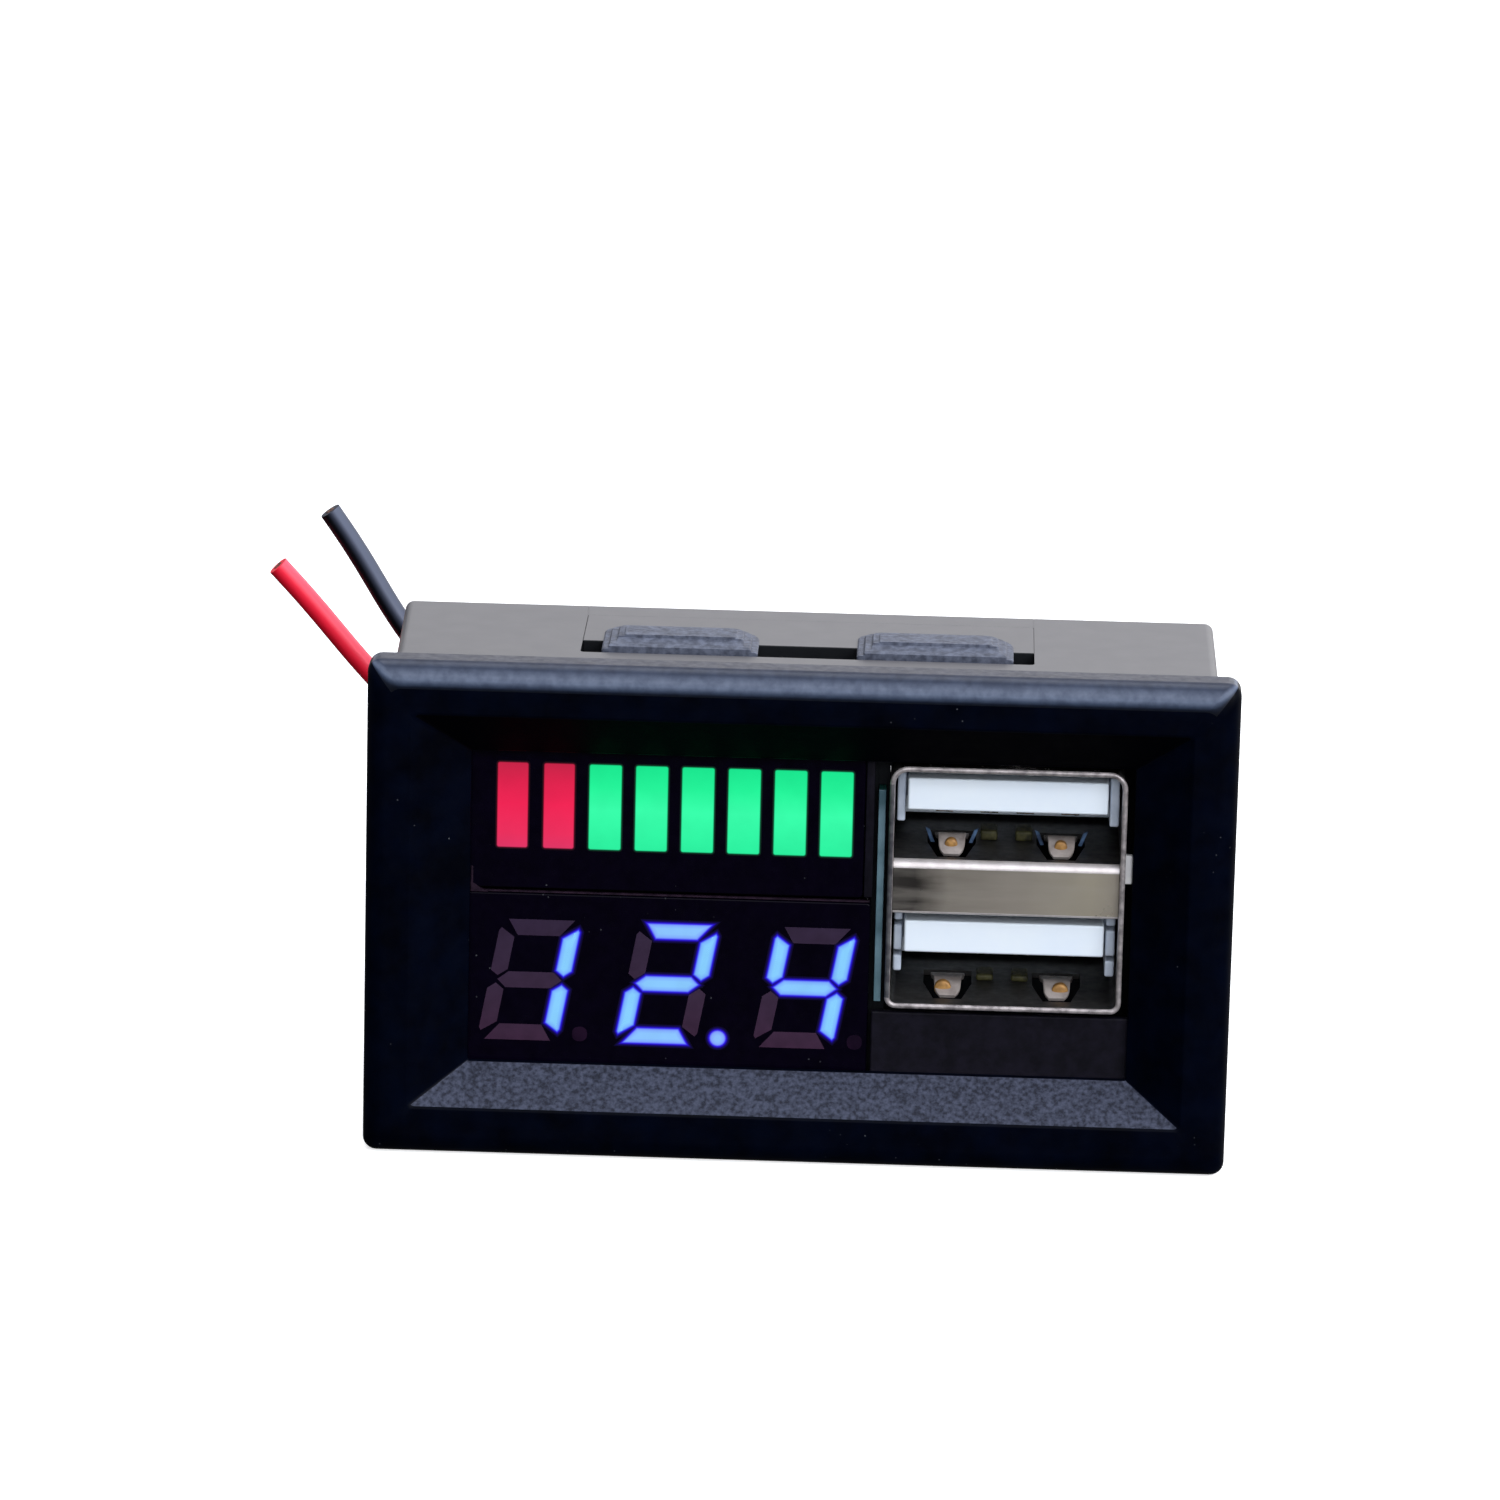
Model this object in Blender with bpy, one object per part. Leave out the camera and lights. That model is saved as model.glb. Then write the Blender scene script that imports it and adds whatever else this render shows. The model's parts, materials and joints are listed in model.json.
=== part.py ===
"""USB power meter: a snap-in panel meter with a battery bar display, a three-digit
readout and a two-port USB-A outlet.

The front face looks along -Y, +X is to its right and +Z is up. The origin is the
middle of the base: halfway across the width, halfway along the depth, at the height
of the bezel's lower edge. Run it with: blender --background --python part.py
"""

import math

import bmesh
import bpy
import numpy as np
from mathutils import Matrix

MM = 0.001

# ---- driving dimensions, in millimetres ------------------------------------
WIDTH, HEIGHT, DEPTH = 48.0, 28.2, 19.0        # over the bezel, front to rear
FLANGE, FLANGE_ROUND = 2.4, 0.9                # bezel flange and its front rounding
BODY_W, BODY_H, WALL = 45.8, 26.1, 1.2         # sleeve that goes through the panel
MOUTH_X, MOUTH_LOW, MOUTH_TOP = 21.4, -11.35, 11.15     # recess at the front face
FLOOR_LEFT, FLOOR_RIGHT = -18.3, 18.4          # window at the foot of the slopes
FLOOR_LOW, FLOOR_TOP = -9.2, 8.7
SLOPE_DEPTH, LIP_DEPTH = 2.2, 2.5

LATCH_HALF, SLIT = 12.55, 0.3                  # snap tongue, half width and slit
TONGUE_FRONT, TONGUE_ROOT = 10.6, 16.4
BARB_FRONT, BARB_STEP, BARB_TOP, BARB_END = 8.2, 9.5, 10.9, 13.4
BARB_RISE = 0.35
BARB_X = (2.75, 11.35)
SLOT_FRONT = 7.9

FACE = 2.8                                     # depth of the display faces
MODULE_X = (-18.75, 3.95)
BAR_Z, DIGIT_Z = (0.7, 9.8), (-9.6, 0.4)
BAR_FIRST, BAR_PITCH, BAR_W, BAR_H, BAR_MID = -16.02, 2.566, 1.8, 5.0, 5.56
BARS, RED_BARS = 8, 2
DIGIT_FIRST, DIGIT_PITCH, DIGIT_MID = -14.80, 7.55, -4.62
DIGIT_W, DIGIT_H, STROKE_H, STROKE_V = 4.7, 7.2, 1.06, 0.98
SLANT = math.radians(10.5)
POINT_R = 0.5
LED_BOARD_D = 7.0

BOARD_D, BOARD_T = 9.2, 1.0                    # board behind the displays
SIDE_X, SIDE_T = 4.25, 0.4                     # upright board beside the sockets

SHELL_X, SHELL_Z, SHELL_D = (4.85, 18.0), (-5.4, 8.5), (2.0, 14.2)
SHEET = 0.3
PORT_PITCH, PORT_FLOOR, PORT_TOP = 8.18, 3.08, 8.2
PORT_MID = 11.4
TONGUE_W, TONGUE_Z = 11.1, (5.8, 7.62)
CONTACT_X = (-3.5, -1.0, 1.0, 3.5)
SPRING_X = 3.05

LEAD_D = 1.25


# ---- scene ------------------------------------------------------------------
for old in list(bpy.data.objects):
    bpy.data.objects.remove(old)

PARTS = bpy.data.collections.new("usb_power_meter")
CUTTERS = bpy.data.collections.new("cutters")
CUTTERS.hide_render = True
bpy.context.scene.collection.children.link(PARTS)
bpy.context.scene.collection.children.link(CUTTERS)


def material(name, colour, roughness, metallic=0.0):
    mat = bpy.data.materials.new(name)
    mat.use_nodes = True
    shader = mat.node_tree.nodes["Principled BSDF"]
    shader.inputs["Base Color"].default_value = (*colour, 1.0)
    shader.inputs["Roughness"].default_value = roughness
    shader.inputs["Metallic"].default_value = metallic
    mat.diffuse_color = (*colour, 1.0)
    return mat


def at(x, d, h):
    """Metres in the part's frame from mm across, behind the front face, above the middle."""
    return (x * MM, (d - DEPTH / 2) * MM, (h + HEIGHT / 2) * MM)


def place(name, mesh, mat=None, pivot=None, cutter=False):
    """An object whose mesh is given in the part's frame, with its origin on pivot."""
    obj = bpy.data.objects.new(name, mesh)
    if pivot is not None:
        mesh.transform(Matrix.Translation([-c for c in pivot]))
        obj.location = pivot
    if cutter:
        obj.hide_render = True
        obj.display_type = "WIRE"
        CUTTERS.objects.link(obj)
    else:
        PARTS.objects.link(obj)
        if mat is not None:
            mesh.materials.append(material(name, *mat))
    return obj


def to_mesh(bm, name):
    bmesh.ops.recalc_face_normals(bm, faces=bm.faces)
    mesh = bpy.data.meshes.new(name)
    bm.to_mesh(mesh)
    bm.free()
    return mesh


def add_block(bm, x, d, h):
    """A box from three (low, high) spans, added to bm."""
    low, high = at(x[0], d[0], h[0]), at(x[1], d[1], h[1])
    size = [b - a for a, b in zip(low, high)]
    middle = [(a + b) / 2 for a, b in zip(low, high)]
    made = bmesh.ops.create_cube(bm, size=1.0)
    bmesh.ops.scale(bm, vec=size, verts=made["verts"])
    bmesh.ops.translate(bm, vec=middle, verts=made["verts"])
    return made["verts"]


def blocks(name, spans):
    bm = bmesh.new()
    for x, d, h in spans:
        add_block(bm, x, d, h)
    return to_mesh(bm, name)


TURNS = {
    # each turn stands the flat outline's own x, y and thickness along part axes
    "Y": Matrix.Rotation(math.pi / 2, 4, "X"),                                   # x, z -> Y
    "X": Matrix.Rotation(math.pi / 2, 4, "Z") @ Matrix.Rotation(math.pi / 2, 4, "X"),  # y, z -> X
    "Z": Matrix.Identity(4),                                                     # x, y -> Z
}


def prism(name, outlines, axis, span):
    """A mesh of flat outlines (mm, holes allowed), as thick as span along axis.

    Axis Y takes (x, height), axis X takes (depth, height), axis Z takes (x, depth).
    """
    curve = bpy.data.curves.new(name, "CURVE")
    curve.dimensions = "2D"
    curve.fill_mode = "BOTH"
    curve.extrude = (span[1] - span[0]) / 2
    for outline in outlines:
        spline = curve.splines.new("POLY")
        spline.points.add(len(outline) - 1)
        for point, (u, v) in zip(spline.points, outline):
            point.co = (u, v, 0, 1)
        spline.use_cyclic_u = True
    guide = bpy.data.objects.new(name, curve)
    middle = (span[0] + span[1]) / 2
    shift = {
        "Y": (0, middle - DEPTH / 2, HEIGHT / 2),
        "X": (middle, -DEPTH / 2, HEIGHT / 2),
        "Z": (0, -DEPTH / 2, middle + HEIGHT / 2),
    }[axis]
    guide.matrix_world = (
        Matrix.Scale(MM, 4) @ Matrix.Translation(shift) @ TURNS[axis]
    )
    CUTTERS.objects.link(guide)
    bpy.context.view_layer.update()
    graph = bpy.context.evaluated_depsgraph_get()
    mesh = bpy.data.meshes.new_from_object(guide.evaluated_get(graph))
    mesh.transform(guide.matrix_world)
    bpy.data.objects.remove(guide)
    bm = bmesh.new()
    bm.from_mesh(mesh)
    bmesh.ops.remove_doubles(bm, verts=bm.verts, dist=1e-6)
    bpy.data.meshes.remove(mesh)
    mesh = to_mesh(bm, name)
    mesh.materials.clear()
    return mesh


def joined(name, *meshes):
    bm = bmesh.new()
    for mesh in meshes:
        bm.from_mesh(mesh)
        bpy.data.meshes.remove(mesh)
    return to_mesh(bm, name)


def turned(name, centre, radius, length, axis="Y", sides=24, top=None):
    """A cylinder or cone frustum centred at centre (mm), along axis."""
    bm = bmesh.new()
    made = bmesh.ops.create_cone(
        bm, cap_ends=True, cap_tris=False, segments=sides,
        radius1=radius * MM, radius2=(radius if top is None else top) * MM,
        depth=length * MM,
    )
    turn = {"Y": Matrix.Rotation(-math.pi / 2, 4, "X"), "Z": Matrix.Identity(4),
            "X": Matrix.Rotation(math.pi / 2, 4, "Y")}[axis]
    bmesh.ops.transform(
        bm, matrix=Matrix.Translation(at(*centre)) @ turn, verts=made["verts"]
    )
    return to_mesh(bm, name)


def cut(obj, mesh, operation="DIFFERENCE"):
    """Boolean with a mesh given in the part's frame."""
    cutter = place(f"cut_{obj.name}_{len(obj.modifiers)}", mesh, cutter=True)
    step = obj.modifiers.new(operation.lower(), "BOOLEAN")
    step.operation = operation
    step.solver = "EXACT"
    step.object = cutter
    return obj


def rounded(x, h, r, steps=5):
    """Corner-rounded rectangle outline; r is one radius, or (lower, upper)."""
    low, top = r if isinstance(r, tuple) else (r, r)
    corners = [((x[1], h[0]), low, -90), ((x[1], h[1]), top, 0),
               ((x[0], h[1]), top, 90), ((x[0], h[0]), low, 180)]
    out = []
    for (cx, cz), radius, start in corners:
        sx = -1 if cx == x[1] else 1
        sz = -1 if cz == h[1] else 1
        for i in range(steps + 1):
            a = math.radians(start + 90 * i / steps)
            out.append((cx + sx * radius + radius * math.cos(a),
                        cz + sz * radius + radius * math.sin(a)))
    return out


def circle(cx, cz, r, sides=16):
    return [(cx + r * math.cos(2 * math.pi * i / sides),
             cz + r * math.sin(2 * math.pi * i / sides)) for i in range(sides)]


BLACK_ABS = ((0.012, 0.014, 0.020), 0.45)
BLACK_GLOSS = ((0.008, 0.006, 0.010), 0.25)
BOARD = ((0.02, 0.16, 0.13), 0.45)
NICKEL = ((0.62, 0.59, 0.55), 0.28, 1.0)
GOLD = ((0.78, 0.50, 0.22), 0.30, 1.0)
WHITE = ((0.80, 0.84, 0.92), 0.45)
CHIP = ((0.02, 0.02, 0.02), 0.55)
SOLDER = ((0.66, 0.66, 0.68), 0.30, 1.0)


# ---- housing: bezel and sleeve in one moulding ---------------------------------
def housing():
    bm = bmesh.new()
    add_block(bm, (-WIDTH / 2, WIDTH / 2), (0, FLANGE), (-HEIGHT / 2, HEIGHT / 2))
    front = at(0, 0, 0)[1]
    upright = [e for e in bm.edges
               if all(abs(v.co.y - front) < 1e-6 for v in e.verts)]
    bmesh.ops.bevel(bm, geom=upright, offset=FLANGE_ROUND * MM, segments=4,
                    profile=0.5, affect="EDGES")
    body = place("housing", to_mesh(bm, "housing"), BLACK_ABS)

    sleeve = prism("sleeve", [rounded((-BODY_W / 2, BODY_W / 2),
                                      (-BODY_H / 2, BODY_H / 2), 0.5, 2)],
                   "Y", (1.4, DEPTH))
    cut(body, sleeve, "UNION")

    # the recess: four slopes from the mouth down to the window
    bm = bmesh.new()
    made = add_block(bm, (-1, 1), (-0.5, SLOPE_DEPTH), (-1, 1))
    lead = 0.5 / SLOPE_DEPTH
    for v in made:
        outer = v.co.y < at(0, 1, 0)[1]
        left, right = v.co.x < 0, v.co.x > 0
        high = v.co.z > HEIGHT / 2 * MM
        x_in = FLOOR_LEFT if left else FLOOR_RIGHT
        x_out = -MOUTH_X if left else MOUTH_X
        z_in = FLOOR_TOP if high else FLOOR_LOW
        z_out = MOUTH_TOP if high else MOUTH_LOW
        if outer:
            v.co.x = (x_out + (x_out - x_in) * lead) * MM
            v.co.z = (z_out + (z_out - z_in) * lead + HEIGHT / 2) * MM
        else:
            v.co.x = x_in * MM
            v.co.z = (z_in + HEIGHT / 2) * MM
    cut(body, to_mesh(bm, "recess"))
    cut(body, blocks("window", [((FLOOR_LEFT, FLOOR_RIGHT), (1.8, 4.0),
                                 (FLOOR_LOW, FLOOR_TOP))]))
    inner_x, inner_z = BODY_W / 2 - WALL, BODY_H / 2 - WALL
    cut(body, blocks("inside", [((-inner_x, inner_x), (LIP_DEPTH, DEPTH + 1),
                                 (-inner_z, inner_z))]))
    # sill below the sockets, ledges and hooks for the display board, rails for the upright one
    sill = [((4.15, FLOOR_RIGHT + 1.2), (LIP_DEPTH - 0.3, 3.1), (FLOOR_LOW - 1.2, -5.75))]
    ledges = [((-inner_x - 0.4, -19.9), (7.9, 8.9), (z, z + 2.4)) for z in (-9.6, 7.2)]
    hooks = [((-inner_x - 0.4, -20.3), (10.5, 11.3), (z, z + 2.4)) for z in (-9.6, 7.2)]
    rails = [((x, x + 0.7), (16.9, DEPTH - 0.4), z)
             for x in (SIDE_X - 1.0, SIDE_X + SIDE_T + 0.3)
             for z in ((-inner_z - 0.4, -9.9), (9.9, inner_z + 0.4))]
    cut(body, blocks("inner_ribs", sill + ledges + hooks + rails), "UNION")
    # openings round the two snap tongues
    half = LATCH_HALF + SLIT
    cut(body, blocks("latch_openings", [
        ((-half, half), (SLOT_FRONT, TONGUE_ROOT + SLIT), (BODY_H / 2 - 2, BODY_H / 2 + 1)),
        ((-half, half), (SLOT_FRONT, TONGUE_ROOT + SLIT), (-BODY_H / 2 - 1, -BODY_H / 2 + 2)),
    ]))
    return body


housing()


# ---- snap tongues: a sprung plate with two stepped barbs -----------------------
def latch(name, side):
    """side is 1 for the top of the sleeve and -1 for the bottom."""
    outer, inner = BODY_H / 2, BODY_H / 2 - WALL

    def outline(points):
        return [(d, side * h) for d, h in points]

    plate = outline([(TONGUE_FRONT, inner), (TONGUE_ROOT, inner),
                     (TONGUE_ROOT, outer), (TONGUE_FRONT, outer)])
    barb = outline([(BARB_FRONT, inner), (BARB_END, inner + 0.3), (BARB_END, outer),
                    (BARB_TOP, outer + 2 * BARB_RISE), (BARB_STEP, outer + 2 * BARB_RISE),
                    (BARB_STEP, outer + BARB_RISE), (BARB_FRONT, outer + BARB_RISE)])
    pivot = at(0, TONGUE_ROOT + SLIT / 2, side * (BODY_H / 2 - WALL / 2))
    obj = place(name, prism(name, [plate], "X", (-LATCH_HALF, LATCH_HALF)),
                BLACK_ABS, pivot)
    for span in (BARB_X, (-BARB_X[1], -BARB_X[0])):
        cut(obj, prism(name + "_barb", [barb], "X", span), "UNION")
    return obj


latch("top_latch", 1)
latch("bottom_latch", -1)


# ---- display modules ------------------------------------------------------------
def shell_case(name, z, windows):
    """A moulded case, open at the back, whose front wall has the windows cut through."""
    case = place(name, blocks(name, [(MODULE_X, (FACE, LED_BOARD_D + 1.7), z)]), BLACK_GLOSS)
    cut(case, blocks("hollow", [((MODULE_X[0] + 0.6, MODULE_X[1] - 0.35),
                                 (FACE + 0.8, LED_BOARD_D + 3), (z[0] + 0.6, z[1] - 0.6))]))
    cut(case, prism("windows", windows, "Y", (FACE - 1, FACE + 1.4)))
    return case


def lens(name, x, z, raised, mat):
    """A slab of clear resin with the lit shapes standing up through the windows."""
    slab = place(name, blocks(name, [(x, (FACE + 1.1, FACE + 2.9), z)]), mat)
    cut(slab, prism("raised", raised, "Y", (FACE + 0.15, FACE + 1.5)), "UNION")
    return slab


def bar_outline(i, shrink):
    x = BAR_FIRST + i * BAR_PITCH
    half_w, half_h = BAR_W / 2 - shrink, BAR_H / 2 - shrink
    return [(x - half_w, BAR_MID - half_h), (x + half_w, BAR_MID - half_h),
            (x + half_w, BAR_MID + half_h), (x - half_w, BAR_MID + half_h)]


def slanted(u, v):
    return u + v * math.tan(SLANT), v


def digit_outlines(shrink):
    """The seven strokes and the point of each digit, drawn upright and then slanted."""
    w, h = DIGIT_W / 2, DIGIT_H / 2
    t, s, gap = STROKE_H, STROKE_V, 0.12
    k = shrink
    top = [(-w + 0.30 + gap, h), (w - 0.30 - gap, h), (w - s - 0.05 - gap, h - t),
           (-w + s + 0.05 + gap, h - t)]
    middle = [(-w + 0.35 + gap, 0), (-w + s - 0.05 + gap, t / 2), (w - s + 0.05 - gap, t / 2),
              (w - 0.35 - gap, 0), (w - s + 0.05 - gap, -t / 2), (-w + s - 0.05 + gap, -t / 2)]
    side = [(w, h - 0.55 - gap), (w - 0.12, h - 0.38 - gap), (w - s, h - t - gap),
            (w - s, t / 2 + gap), (w - 0.42, 0.10 + gap), (w, 0.42 + gap)]
    strokes = [top, middle, [(u, -v) for u, v in reversed(top)]]
    for su in (1, -1):
        for sv in (1, -1):
            stroke = [(su * u, sv * v) for u, v in side]
            strokes.append(stroke if su * sv > 0 else list(reversed(stroke)))
    out = []
    for i in range(3):
        cx = DIGIT_FIRST + i * DIGIT_PITCH
        for stroke in strokes:
            mu = sum(u for u, _ in stroke) / len(stroke)
            mv = sum(v for _, v in stroke) / len(stroke)
            reach_u = max(abs(u - mu) for u, _ in stroke)
            reach_v = max(abs(v - mv) for _, v in stroke)
            shape = []
            for u, v in stroke:
                u = mu + (u - mu) * (1 - k / reach_u)
                v = mv + (v - mv) * (1 - k / reach_v)
                u, v = slanted(u, v)
                shape.append((cx + u, DIGIT_MID + v))
            out.append(shape)
        out.append(circle(cx + 2.88, DIGIT_MID - 3.08, POINT_R - 1.6 * k, 12))
    return out


shell_case("bar_display_case", BAR_Z, [bar_outline(i, 0) for i in range(BARS)])
split = BAR_FIRST + (RED_BARS - 0.5) * BAR_PITCH
lens("bar_lens_red", (-17.9, split - 0.15), (1.6, 8.9),
     [bar_outline(i, 0.1) for i in range(RED_BARS)], ((0.55, 0.02, 0.07), 0.3))
lens("bar_lens_green", (split + 0.15, 2.9), (1.6, 8.9),
     [bar_outline(i, 0.1) for i in range(RED_BARS, BARS)], ((0.03, 0.65, 0.28), 0.3))
shell_case("digit_display_case", DIGIT_Z, digit_outlines(0))
lens("digit_lens", (-17.9, 3.35), (-8.75, -0.45), digit_outlines(0.1), ((0.10, 0.20, 0.70), 0.3))

PIN_HALF = 0.25
BAR_PINS = [(-16.0 + 2.54 * i, 2.3) for i in range(8)]
DIGIT_PINS = [(-13.85 + 2.54 * i, z) for z in (-8.3, -0.9) for i in range(6)]


def led_board(name, z, chips, pins):
    """The module's own board: chips towards the lens, pins through the main board."""
    obj = place(name, blocks(name, [((MODULE_X[0] + 0.9, MODULE_X[1] - 0.9),
                                     (LED_BOARD_D, LED_BOARD_D + 0.8), z)]), BOARD)
    tools = [((x - 0.5, x + 0.5), (LED_BOARD_D - 0.5, LED_BOARD_D + 0.2), (c - 0.5, c + 0.5))
             for x, c in chips]
    tools += [((x - PIN_HALF, x + PIN_HALF), (LED_BOARD_D + 0.6, BOARD_D + BOARD_T + 0.9),
               (c - PIN_HALF, c + PIN_HALF)) for x, c in pins]
    return cut(obj, blocks("chips_and_pins", tools), "UNION")


led_board("bar_led_board", (1.6, 8.9),
          [(BAR_FIRST + i * BAR_PITCH, BAR_MID) for i in range(BARS)], BAR_PINS)
led_board("digit_led_board", (-8.75, -0.45),
          [(DIGIT_FIRST + i * DIGIT_PITCH, DIGIT_MID + v) for i in range(3) for v in (-1.8, 1.8)],
          DIGIT_PINS)


# ---- circuit boards ---------------------------------------------------------------
board_holes = [circle(x, z, 0.5, 8) for x, z in BAR_PINS + DIGIT_PINS]
place("display_board",
      prism("display_board", [rounded((-20.9, 3.9), (-10.2, 10.2), 0.6, 2)] + board_holes,
            "Y", (BOARD_D, BOARD_D + BOARD_T)), BOARD)
side_outline = [(3.0, -5.3), (10.5, -5.3), (10.5, -10.8), (18.2, -10.8), (18.2, 10.8),
                (10.5, 10.8), (10.5, 6.9), (3.0, 6.9)]
place("usb_board", prism("usb_board", [side_outline], "X", (SIDE_X, SIDE_X + SIDE_T)), BOARD)
place("outlet_board", prism("outlet_board", [rounded((SIDE_X + SIDE_T + 0.3, 21.4), (-11.5, 11.5), 0.5, 2)],
                            "Y", (14.6, 15.4)), BOARD)


# ---- USB outlet ----------------------------------------------------------------------
def spring_slots(floor):
    return [((PORT_MID + s * SPRING_X - 1.15, PORT_MID + s * SPRING_X + 1.15),
             (3.4, 9.0), (floor - 1, floor + 0.6)) for s in (-1, 1)]


LOW_FLOOR = PORT_FLOOR - PORT_PITCH
shell = place("usb_shell",
              prism("usb_shell", [rounded(SHELL_X, SHELL_Z, (0.6, 1.0), 4),
                                  list(reversed(rounded(
                                      (SHELL_X[0] + SHEET, SHELL_X[1] - SHEET),
                                      (SHELL_Z[0] + SHEET, SHELL_Z[1] - SHEET), (0.3, 0.7), 4)))],
                    "Y", SHELL_D), NICKEL)
cut(shell, blocks("spring_slots", spring_slots(LOW_FLOOR)))
cut(shell, blocks("tab_slot", [((SHELL_X[1] - 0.6, SHELL_X[1] + 0.4), (2.65, 3.6), (1.6, 3.4))]))

low_roof = PORT_TOP - PORT_PITCH
fold = [(2.35 + 0.45 * (1 - math.sin(a)), PORT_FLOOR - 0.45 * (1 - math.cos(a)))
        for a in np.linspace(0, math.pi / 2, 5)]
divider_outline = (
    [(13.9, PORT_FLOOR)] + [(float(d), float(h)) for d, h in fold]
    + [(2.35, low_roof), (13.9, low_roof), (13.9, low_roof + SHEET), (2.65, low_roof + SHEET),
       (2.65, PORT_FLOOR - 0.5), (2.85, PORT_FLOOR - SHEET), (13.9, PORT_FLOOR - SHEET)])
divider = place("usb_divider", prism("usb_divider", [divider_outline], "X",
                                     (SHELL_X[0] + 0.5, SHELL_X[1] - 0.5)), NICKEL)
cut(divider, blocks("tab", [((SHELL_X[1] - 0.7, SHELL_X[1] + 0.28), (2.9, 3.3), (1.85, 3.0))]),
    "UNION")
cut(divider, blocks("spring_slots", spring_slots(PORT_FLOOR)))


def insulator(name, drop):
    """Moulded block with the plug tongue, its side rails and four contact grooves."""
    low, top = TONGUE_Z[0] - drop, TONGUE_Z[1] - drop
    left, right = PORT_MID - TONGUE_W / 2, PORT_MID + TONGUE_W / 2
    obj = place(name, blocks(name, [((left, right), (3.0, 11.8), (low, top))]), WHITE)
    cut(obj, blocks("block", [((SHELL_X[0] + 0.75, SHELL_X[1] - 0.75), (11.4, 13.9),
                               (PORT_FLOOR + 0.3 - drop, PORT_TOP - 0.3 - drop))]), "UNION")
    cut(obj, blocks("rails", [
        ((SHELL_X[0] + 0.55, left + 0.2), (4.2, 11.8), (low - 0.3, top + 0.25)),
        ((right - 0.2, SHELL_X[1] - 0.55), (4.2, 11.8), (low - 0.3, top + 0.25))]), "UNION")
    cut(obj, blocks("grooves", [((PORT_MID + x - 0.7, PORT_MID + x + 0.7), (3.8, 11.2),
                                 (low - 1, low + 1.0)) for x in CONTACT_X]))
    return obj


def strip(points, thick):
    """The closed outline of a bent strip that follows points, thick across."""
    pts = np.array(points, float)
    way = np.gradient(pts, axis=0)
    way /= np.linalg.norm(way, axis=1)[:, None]
    side = np.stack([-way[:, 1], way[:, 0]], 1) * thick / 2
    return [tuple(map(float, p)) for p in np.concatenate([pts + side, (pts - side)[::-1]])]


def eased(keys, count):
    """A smooth run of count points through keys, by cubic interpolation along the chord."""
    keys = np.array(keys, float)
    t = np.concatenate([[0], np.cumsum(np.linalg.norm(np.diff(keys, axis=0), axis=1))])
    slope = np.gradient(keys, t, axis=0)
    out = []
    for s in np.linspace(0, t[-1], count):
        i = min(int(np.searchsorted(t, s, side="right")) - 1, len(t) - 2)
        w = t[i + 1] - t[i]
        u = (s - t[i]) / w
        out.append((2 * u**3 - 3 * u**2 + 1) * keys[i] + (u**3 - 2 * u**2 + u) * w * slope[i]
                   + (3 * u**2 - 2 * u**3) * keys[i + 1] + (u**3 - u**2) * w * slope[i + 1])
    return np.array(out)


CONTACT_ROOT = 11.0


def contact(name, x, drop):
    """A bowed blade under the tongue, held at its rear."""
    low = TONGUE_Z[0] - drop
    path = eased([(4.15, low + 0.35), (4.8, low - 0.35), (5.8, low - 0.62), (7.4, low - 0.3),
                  (9.3, low + 0.25), (CONTACT_ROOT, low + 0.45)], 11)
    mesh = prism(name, [strip(path, 0.2)], "X", (PORT_MID + x - 0.5, PORT_MID + x + 0.5))
    return place(name, mesh, GOLD, at(PORT_MID + x, CONTACT_ROOT, low + 0.45))


SPRING_ROOT = 8.65


def spring(name, side, floor):
    """A retention leaf cut from the port's floor, bowed up towards the plug."""
    x = PORT_MID + side * SPRING_X
    mid = floor - SHEET / 2
    path = eased([(3.85, mid + 0.12), (4.5, mid + 0.62), (5.3, mid + 0.85), (6.6, mid + 0.5),
                  (7.8, mid + 0.1), (SPRING_ROOT, mid)], 11)
    mesh = prism(name, [strip(path, 0.25)], "X", (x - 0.85, x + 0.85))
    return place(name, mesh, NICKEL, at(x, SPRING_ROOT, mid))


for word, drop in (("upper", 0.0), ("lower", PORT_PITCH)):
    insulator(f"{word}_insulator", drop)
    for i, x in enumerate(CONTACT_X):
        contact(f"{word}_contact_{i + 1}", x, drop)
    spring(f"{word}_left_spring", -1, PORT_FLOOR - drop)
    spring(f"{word}_right_spring", 1, PORT_FLOOR - drop)


# ---- electronics behind the displays ------------------------------------------------
BACK = BOARD_D + BOARD_T + 0.25                 # where a part on the display board starts


def leaded(name, x, z, size, legs, mat, lead=0.55):
    """A chip body with flat legs; legs lists (dx, dz) leg centres."""
    w, h, t = size
    obj = place(name, blocks(name, [((x - w / 2, x + w / 2), (BACK + 0.15, BACK + 0.15 + t),
                                     (z - h / 2, z + h / 2))]), mat)
    feet = []
    for dx, dz in legs:
        half_x, half_z = (0.2, lead) if abs(dz) * w > abs(dx) * h else (lead, 0.2)
        feet.append(((x + dx - half_x, x + dx + half_x), (BACK, BACK + 0.5),
                     (z + dz - half_z, z + dz + half_z)))
    return cut(obj, blocks("legs", feet), "UNION")


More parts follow.
